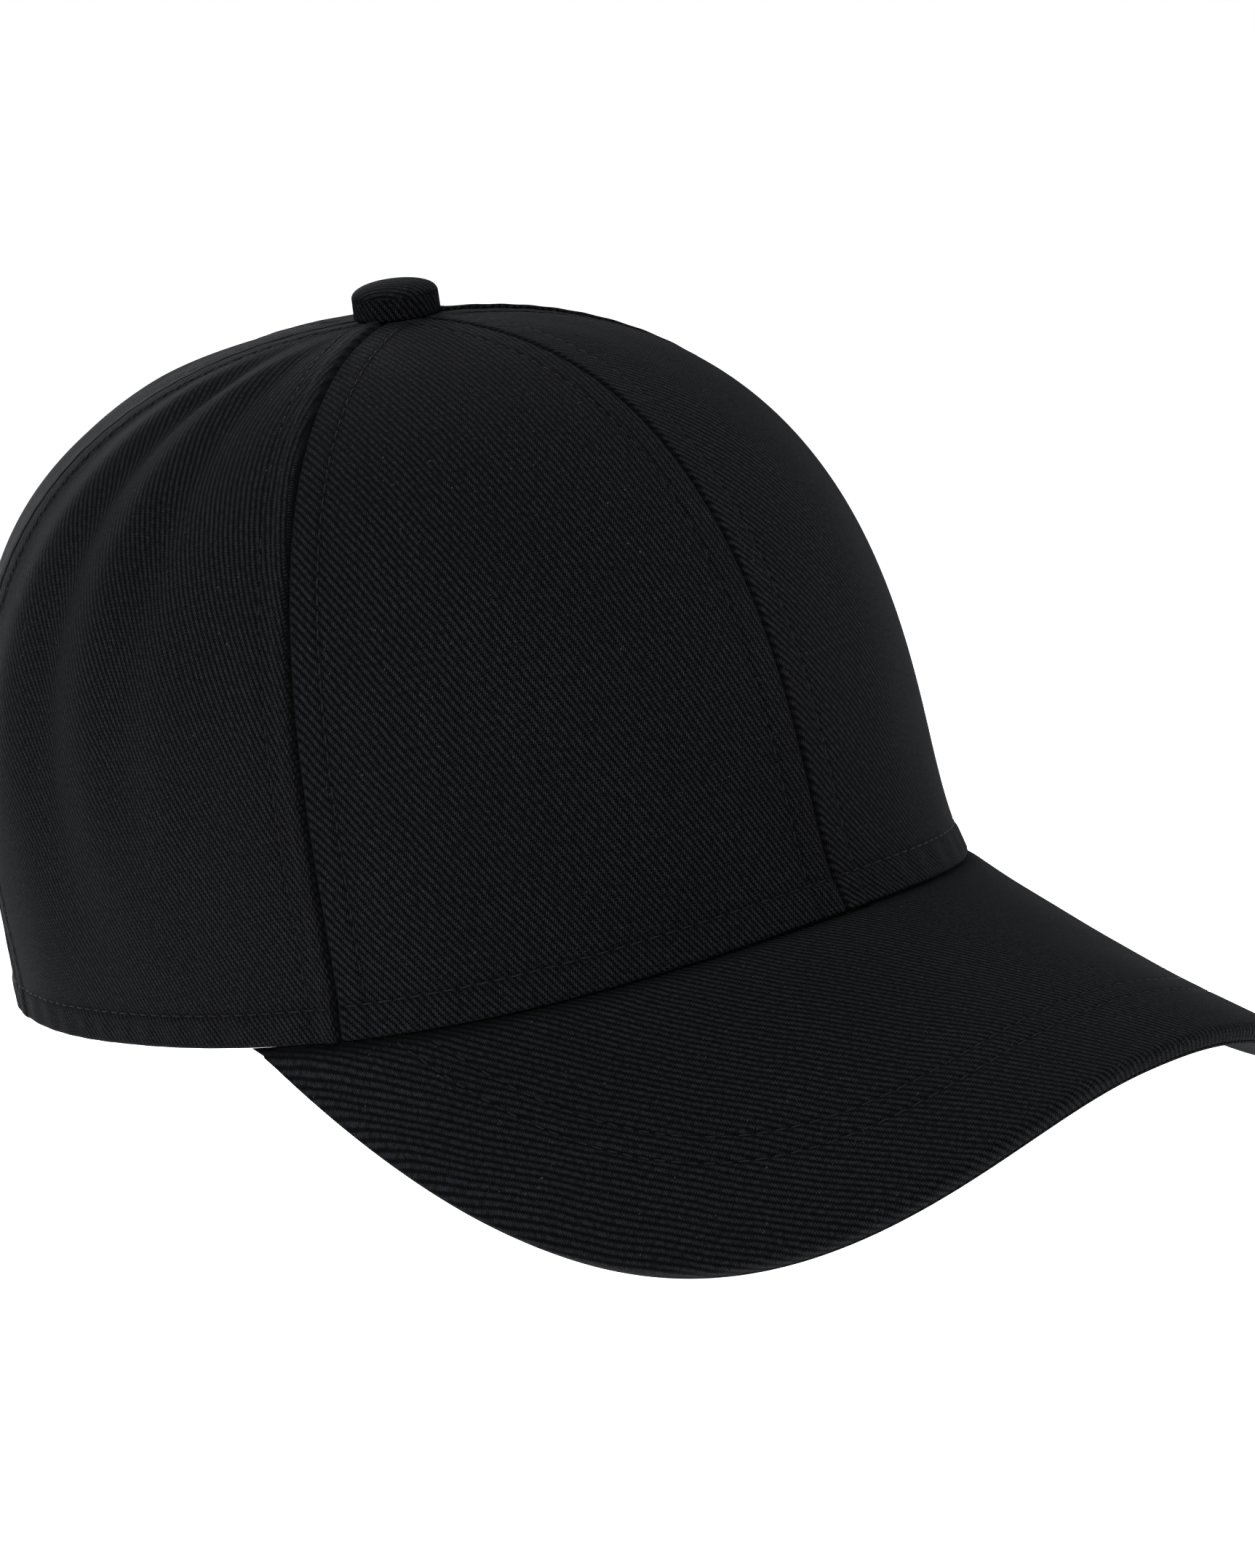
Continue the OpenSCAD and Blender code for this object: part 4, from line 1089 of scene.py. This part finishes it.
class CAP_OT_brim(bpy.types.Operator):
    """Cover the brim board above and below and stitch it"""
    bl_idname = "cap.brim"
    bl_label = "Brim"

    def execute(self, context):
        cloth, sewing, _ = settings()
        material = crown_twill()
        stations = 0.995 * np.linspace(-1, 1, 320)[:, None]
        reach = brim_reach(stations)
        r = np.minimum(1.5, 0.35 * reach)
        s_in = -BRIM_TUCK / reach
        out = np.linspace(0, 1, 150)
        bend = np.radians(np.linspace(0, 90, 9))[1:]
        face = s_in + (1 - r / reach - s_in) * out
        roll_s = 1 - r / reach + r / reach * np.sin(bend)
        roll_d = r * (1 - np.cos(bend))
        lip = UNDER_DEPTH - 0.1
        back_in = np.minimum(0.8, 0.3 * reach) / reach

        def part(s, depth):
            """Rows of the brim at shares of the way out and depths under its face."""
            s = np.broadcast_to(s, (len(stations), np.broadcast(s, depth).shape[-1]))
            v = np.broadcast_to(stations, s.shape)
            return brim_in(v, s, np.broadcast_to(depth, s.shape))[0]

        v = np.broadcast_to(stations, face.shape)
        top = brim_in(v, face, -brim_relief(v, face, sewing))[0]
        back = np.linspace(1, 0, 14)
        rings = np.concatenate([
            top, part(roll_s, roll_d), part(np.ones((1, 1)), np.array([[2.1, 2.5]])),
            part(1 - np.array([[0.1, 0.45]]) / reach, np.full((1, 2), lip)),
            part(1 - back_in, np.full((1, 1), lip)),
            part(s_in + (1 - back_in - s_in) * back, np.full((1, 14), BRIM_CLOTH)),
        ], 1)
        # Painted shade on the brim's top face only.
        shade = np.zeros(rings.shape[:2])
        shade[:, :top.shape[1]] = brim_painted_shade(v, face, sewing)
        uv = brim_flat(rings, top.shape[1])
        piece = loft("brim_top_cloth", rings, uv, material, "crown", shade)
        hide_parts("brim_top_cover")
        low = UNDER_DEPTH + BRIM_CLOTH
        few = np.linspace(0, 1, 90)
        under = s_in + (1 - 0.3 / reach - s_in) * few
        vu = np.broadcast_to(stations, under.shape)
        rings = np.concatenate([
            brim_in(vu, under, low + 0.6 * brim_relief(vu, under, sewing))[0],
            part(1 - np.array([[0.08, 0.08]]) / reach, np.array([[low - 0.15, UNDER_DEPTH + 0.1]])),
            part(s_in + (1 - 0.3 / reach - s_in) * back, np.full((1, 14), UNDER_DEPTH)),
        ], 1)
        piece = loft("brim_under_cloth", rings, brim_flat(rings, under.shape[1]), material, "crown")
        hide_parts("brim_under_cover")
        rng = np.random.default_rng(11)
        rows = []
        v = np.linspace(-0.99, 0.99, 3000)
        for row in (sewing.brim_outer_row / MM, sewing.brim_inner_row / MM):
            s = 1 - row / (brim_way(v) * edge_slant(v))
            keep = s > 0.01
            vk, sk = v[keep], s[keep]
            path, normal = brim_in(vk, sk, -brim_relief(vk, sk, sewing))
            rows.append(stitches(path, normal, sewing, rng))
            path, _ = brim_in(vk, sk, low + 0.6 * brim_relief(vk, sk, sewing))
            rows.append(stitches(path, -normal, sewing, rng))
        thread_piece("brim_stitching", rows, thread_material(cloth), "crown")
        return {"FINISHED"}


class CAP_OT_topstitching(bpy.types.Operator):
    """Topstitch the crown beside its seams and along its edge"""
    bl_idname = "cap.topstitching"
    bl_label = "Crown topstitching"

    def execute(self, context):
        cloth, sewing, _ = settings()
        rng = np.random.default_rng(3)
        rows = []
        row, hem = sewing.seam_row / MM, sewing.hem_row / MM
        clear, top_radius = 0.6, 12.5
        for middle in (30, -30, 90, -90, 150, -150):
            for side in (1, -1):
                seam = middle + side * PANEL_HALF
                low = ARCH_H + hem if abs(seam) == 180 else hem
                start = math.asin((low + 0.5) / CROWN_HEIGHT)
                end = math.asin(float(share_at_radius(seam, top_radius)))
                h = np.sin(np.linspace(start, end, 400))
                per_degree = crown_frame(np.full_like(h, seam), h)[2]
                a = seam - side * row / per_degree
                rows.append(stitches(*panel_surface(a, h, middle, sewing), sewing, rng))
            edge = np.linspace(-PANEL_HALF + clear, PANEL_HALF - clear, 260)
            if abs(middle) < 150:
                a = middle + edge
                rows.append(stitches(*panel_surface(a, share_of(a, hem), middle, sewing), sewing, rng))
            else:
                wide = ARCH_HALF + hem / RIM_STEP
                high = (ARCH_H + hem) / CROWN_HEIGHT
                first = math.degrees(math.asin(hem / CROWN_HEIGHT / high))
                turn = np.radians(np.linspace(first, 89.2, 300))
                off = wide * np.cos(turn)
                flat_off = np.linspace(2 * PANEL_HALF - clear, off[0], 80)[:-1]
                off = np.concatenate([flat_off, off])
                h = np.concatenate([np.full(len(flat_off), hem / CROWN_HEIGHT), high * np.sin(turn)])
                a = np.sign(middle) * (180 - off)
                rows.append(stitches(*panel_surface(a, h, middle, sewing), sewing, rng))
        thread_piece("crown_topstitching", rows, thread_material(cloth), "crown")
        return {"FINISHED"}


class CAP_OT_button(bpy.types.Operator):
    """Cover the button in gathered twill"""
    bl_idname = "cap.button"
    bl_label = "Button"

    def execute(self, context):
        cloth, _, _ = settings()
        r, lift, side, dome, t = BUTTON_R, BUTTON_LIFT, BUTTON_SIDE, BUTTON_DOME, 0.7
        turn = np.radians(np.linspace(90, 0, 26))
        crown = np.stack([r * np.cos(turn) ** 0.85, lift + side + dome * np.sin(turn)], -1)
        crown[0, 0] = 0
        wall = np.stack([np.full(16, r), lift + side * np.linspace(0.97, 0.1, 16)], -1)
        foot = np.stack([r - 0.15 - 2.4 * np.linspace(0, 1, 6), np.full(6, lift)], -1)
        inner = np.stack([(r - t) * np.cos(turn) ** 0.85, lift + side + (dome - t) * np.sin(turn)], -1)[::-1]
        inner[-1, 0] = 0
        inside = np.stack([[r - 2.6, r - t, r - t], [lift + t, lift + t, lift + side * 0.6]], -1)
        profile = np.concatenate([crown, wall, foot, inside, inner])
        z = profile[1:-1, 1]
        angle = np.radians(np.arange(BUTTON_STEPS) * 360 / BUTTON_STEPS)
        zone = smooth((lift + side + 1.4 - z) / 2.4) * smooth((z - lift + 0.6) / 0.8)
        zone = zone * (np.arange(len(z)) < len(crown) + len(wall) + 1)
        folds = (np.abs(np.sin(9.5 * angle + 0.6 * np.sin(3 * angle))) * 0.55
                 + 0.25 * np.sin(17 * angle + 1) + 0.12 * np.sin(31 * angle))
        lean = np.sin(9.5 * angle[None] + 0.25 * z[:, None] + 0.8 * np.sin(3 * angle)[None])
        wobble = zone[:, None] * (0.2 * folds[None] + 0.16 * lean - 0.2)
        material = twill_material("button_twill", cloth)
        piece = turned("button_cloth", profile, wobble, material, "crown")
        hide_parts("button_cover")
        return {"FINISHED"}


class CAP_OT_strap(bpy.types.Operator):
    """Sew the adjuster strap, the buckle's tab and the blank label"""
    bl_idname = "cap.strap"
    bl_label = "Strap, tab and label"

    def execute(self, context):
        cloth, sewing, _ = settings()
        twill = crown_twill()
        rng = np.random.default_rng(17)
        z = np.linspace(0, 1, 50)
        zs = STRAP_Z + STRAP_W * (z - 0.4 * np.sin(2 * np.pi * z) / (2 * np.pi))
        edge = np.minimum(zs - STRAP_Z, STRAP_Z + STRAP_W - zs)
        row = 2.2
        half = STRAP_T / 2 * rounded(edge, 0.6, 0.02) - 0.12 * bell(edge - row, 0.45)
        r = np.concatenate([STRAP_R - STRAP_T / 2 + half, (STRAP_R - STRAP_T / 2 - half)[::-1]])
        angles = np.linspace(-STRAP_ROOT, STRAP_TAIL, 300)[:, None]
        rings = strap_at(r[None], angles, np.concatenate([zs, zs[::-1]])[None])
        uv = pairs(np.radians(angles) * STRAP_R, np.concatenate([zs, zs[::-1]])[None])
        strap = loft("strap_cloth", rings, uv, twill, "strap")
        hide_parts("adjuster_strap")
        a = np.linspace(-STRAP_ROOT + 1, STRAP_TAIL - 1.5, 400)
        normal = strap_at(1.0, a, 0.0) - strap_at(0.0, a, 0.0)
        rows = []
        for r_face, way_out in ((STRAP_R - 0.1, normal), (STRAP_R - STRAP_T + 0.1, -normal)):
            for zz in (STRAP_Z + row, STRAP_Z + STRAP_W - row):
                rows.append(stitches(strap_at(r_face, a, zz), way_out, sewing, rng))
        up = np.linspace(STRAP_Z + 2.4, STRAP_Z + STRAP_W - 2.4, 60)
        end = strap_at(STRAP_R - 0.02, STRAP_TAIL - 2.2, up)
        rows.append(stitches(end, np.broadcast_to(normal[-1], end.shape), sewing, rng))
        thread_piece("strap_stitching", rows, thread_material(cloth), "strap")

        inner = STRAP_R + 0.3 + TAB_T / 2
        over = BAR_OUTER + 0.1 + TAB_T / 2
        doubled = inner + TAB_T + 0.03
        bar_start = BUCKLE_END - degrees_of(BAR_W, STRAP_R)
        rejoin = BUCKLE_END + degrees_of(4.4, STRAP_R)
        loop = np.radians(np.linspace(-90, 90, 15))
        mid, grow = (inner + over) / 2, (over - inner) / 2
        path_r = np.concatenate([
            np.full(20, inner), mid + grow * np.sin(loop), np.full(6, over),
            over + (doubled - over) * smooth(np.linspace(0, 1, 12)), np.full(6, doubled)])
        path_a = np.concatenate([
            np.linspace(TAB_ROOT, bar_start, 21)[:-1],
            bar_start - degrees_of(grow, STRAP_R) * 0.55 * np.cos(loop),
            np.linspace(bar_start, BUCKLE_END, 7)[1:], np.linspace(BUCKLE_END + 0.15, rejoin, 12),
            np.linspace(rejoin, rejoin + 2.4, 7)[1:]])
        line = strap_at(path_r, path_a, 0.0)
        tangent = unit(np.gradient(line, axis=0))
        out = np.stack([-tangent[:, 1], tangent[:, 0], tangent[:, 2]], -1)
        w = np.linspace(0, 1, 24)
        thick = TAB_T / 2 * rounded(np.minimum(w, 1 - w) * TAB_W, 0.4, 0.05) * 0.97
        half = out[:, None] * thick[None, :, None]
        lift = np.stack([np.zeros_like(w), np.zeros_like(w), TAB_Z + w * TAB_W], -1)
        face = line[:, None] + lift[None]
        rings = np.concatenate([face + half, (face - half)[:, ::-1]], 1)
        way = way_along(line)
        both = np.concatenate([w, w[::-1]]) * TAB_W
        tab = loft("tab_cloth", rings, pairs(way[:, None], both[None]), twill, "crown")
        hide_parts("buckle_tab")
        up = np.linspace(TAB_Z + 1.2, TAB_Z + TAB_W - 1.2, 60)
        rows = []
        for angle in (rejoin + 0.5, rejoin + 1.5):
            end = strap_at(inner + TAB_T * 1.5 + 0.02, angle, up)
            facing = unit(strap_at(1.0, angle, 0.0) - strap_at(0.0, angle, 0.0))
            rows.append(stitches(end, np.broadcast_to(facing, end.shape), sewing, rng))
        thread_piece("tab_stitching", rows, thread_material(cloth), "crown")

        label = woven_material("label_satin", (0.45, 0.45, 0.44), 0.0003, low=0.8, sheen=0.3, depth=0.00005)
        along = degrees_of(LABEL_LENGTH, HALF_WIDTH) * np.linspace(-0.5, 0.5, 50)[:, None]
        a, y = np.broadcast_arrays(LABEL_ANGLE + along, LABEL_LIFT + LABEL_W * np.linspace(0, 1, 24)[None])
        depth = band_depth(a) + BAND_T + 0.4
        tag = crown_strip("blank_label", a, share_of(a, y), depth, 0.35, pairs(a * 1.5, y), label)
        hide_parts("size_label")
        return {"FINISHED"}


class CAP_OT_hardware(bpy.types.Operator):
    """Finish the buckle, the button's metal parts and the brim board"""
    bl_idname = "cap.hardware"
    bl_label = "Hardware"

    def execute(self, context):
        brushed = solid_material("buckle_metal", (0.32, 0.31, 0.30), 1.0, 0.26, 900.0, 0.00002,
                                 stretch=(1.0, 1.0, 14.0))
        steel = solid_material("plain_steel", (0.55, 0.55, 0.56), 1.0, 0.3, 1800.0, 0.00003)
        board = solid_material("brim_board", (0.55, 0.53, 0.48), 0.0, 0.7, 700.0, 0.0001)
        finishes = {
            "buckle_frame": brushed, "buckle_pin": brushed, "buckle_lever": brushed,
            "button_shell": steel, "button_rivet": steel, "button_washer": steel, "brim_board": board,
        }
        for name, material in finishes.items():
            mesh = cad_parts[name].data
            mesh.materials.clear()
            mesh.materials.append(material)
        return {"FINISHED"}


class CAP_OT_stage(bpy.types.Operator):
    """Set up the floor, the light and the camera"""
    bl_idname = "cap.stage"
    bl_label = "Stage"

    def execute(self, context):
        _, _, stage = settings()
        scene = context.scene
        az, el, roll = stage.azimuth, stage.elevation, stage.roll
        back = np.array([-math.sin(az) * math.cos(el), -math.cos(az) * math.cos(el), math.sin(el)])
        right = unit(np.cross([0, 0, 1.0], back))
        up = np.cross(back, right)
        turned_right = math.cos(roll) * right + math.sin(roll) * up
        turned_up = -math.sin(roll) * right + math.cos(roll) * up
        eye = stage.distance * back + stage.right * turned_right + stage.up * turned_up
        data = bpy.data.cameras.new("camera")
        data.lens = stage.lens
        data.clip_start, data.clip_end = 0.05, 50
        camera = bpy.data.objects.new("camera", data)
        place = Matrix.Identity(4)
        for column, axis in enumerate((turned_right, turned_up, back, eye)):
            for line in range(3):
                place[line][column] = float(axis[line])
        camera.matrix_world = place
        scene.collection.objects.link(camera)
        scene.camera = camera

        world = bpy.data.worlds.new("soft_white")
        world.use_nodes = True
        sky = Graph(world.node_tree)
        seen = sky.add("ShaderNodeLightPath").outputs["Is Camera Ray"]
        background = world.node_tree.nodes["Background"]
        background.inputs["Color"].default_value = (1, 1, 1, 1)
        sky.put(background.inputs["Strength"], sky.math("MAXIMUM", seen, stage.surround))
        scene.world = world
        for name, spot, size, share in LAMPS:
            lamp = bpy.data.lights.new(name, "AREA")
            lamp.size, lamp.energy = size, stage.key * share
            lamp_object = bpy.data.objects.new(name, lamp)
            lamp_object.location = spot
            lamp_object.visible_camera = False
            away = Vector(AIM) - Vector(spot)
            lamp_object.rotation_euler = away.to_track_quat("-Z", "Y").to_euler()
            scene.collection.objects.link(lamp_object)

        half, level = FLOOR_HALF, FRAME_BOX[0][2] - FLOOR_DROP
        floor_mesh = bpy.data.meshes.new("floor")
        corners = [(-half, -half, level), (half, -half, level), (half, half, level), (-half, half, level)]
        floor_mesh.from_pydata(corners, [], [(0, 1, 2, 3)])
        material = bpy.data.materials.new("pale_floor")
        material.use_nodes = True
        shader = material.node_tree.nodes["Principled BSDF"]
        shader.inputs["Base Color"].default_value = (0.92, 0.92, 0.92, 1)
        shader.inputs["Roughness"].default_value = 0.9
        shader.inputs["Emission Color"].default_value = (1, 1, 1, 1)
        shader.inputs["Emission Strength"].default_value = 1.0
        floor_mesh.materials.append(material)
        floor = bpy.data.objects.new("floor", floor_mesh)
        scene.collection.objects.link(floor)
        scene.view_settings.view_transform = "Standard"
        return {"FINISHED"}


OPERATORS = (CAP_OT_stage, CAP_OT_panels, CAP_OT_topstitching, CAP_OT_linings, CAP_OT_sweatband, CAP_OT_brim,
             CAP_OT_button, CAP_OT_strap, CAP_OT_hardware)


class CAP_PT_sidebar(bpy.types.Panel):
    """Lists the cap's pieces and their settings"""
    bl_label = "Baseball cap"
    bl_idname = "CAP_PT_sidebar"
    bl_space_type = "VIEW_3D"
    bl_region_type = "UI"
    bl_category = "Cap"

    def draw(self, context):
        """The settings in three boxes, and a button for each group of pieces."""
        for held in (context.scene.cap_cloth, context.scene.cap_sewing, context.scene.cap_stage):
            box = self.layout.box()
            for name in held.__annotations__:
                box.prop(held, name)
        for operator in OPERATORS:
            self.layout.operator(operator.bl_idname)


CLASSES = (CapCloth, CapSewing, CapStage, *OPERATORS, CAP_PT_sidebar)


def register():
    """Add the cap's settings, operators and panel to Blender."""
    for item in CLASSES:
        bpy.utils.register_class(item)
    bpy.types.Scene.cap_cloth = bpy.props.PointerProperty(type=CapCloth)
    bpy.types.Scene.cap_sewing = bpy.props.PointerProperty(type=CapSewing)
    bpy.types.Scene.cap_stage = bpy.props.PointerProperty(type=CapStage)


def unregister():
    """Take them out again."""
    for name in ("cap_cloth", "cap_sewing", "cap_stage"):
        delattr(bpy.types.Scene, name)
    for item in reversed(CLASSES):
        bpy.utils.unregister_class(item)


def main():
    """Make every piece in order."""
    register()
    for operator in OPERATORS:
        getattr(bpy.ops.cap, operator.bl_idname.split(".")[1])()


if __name__ == "__main__":
    main()
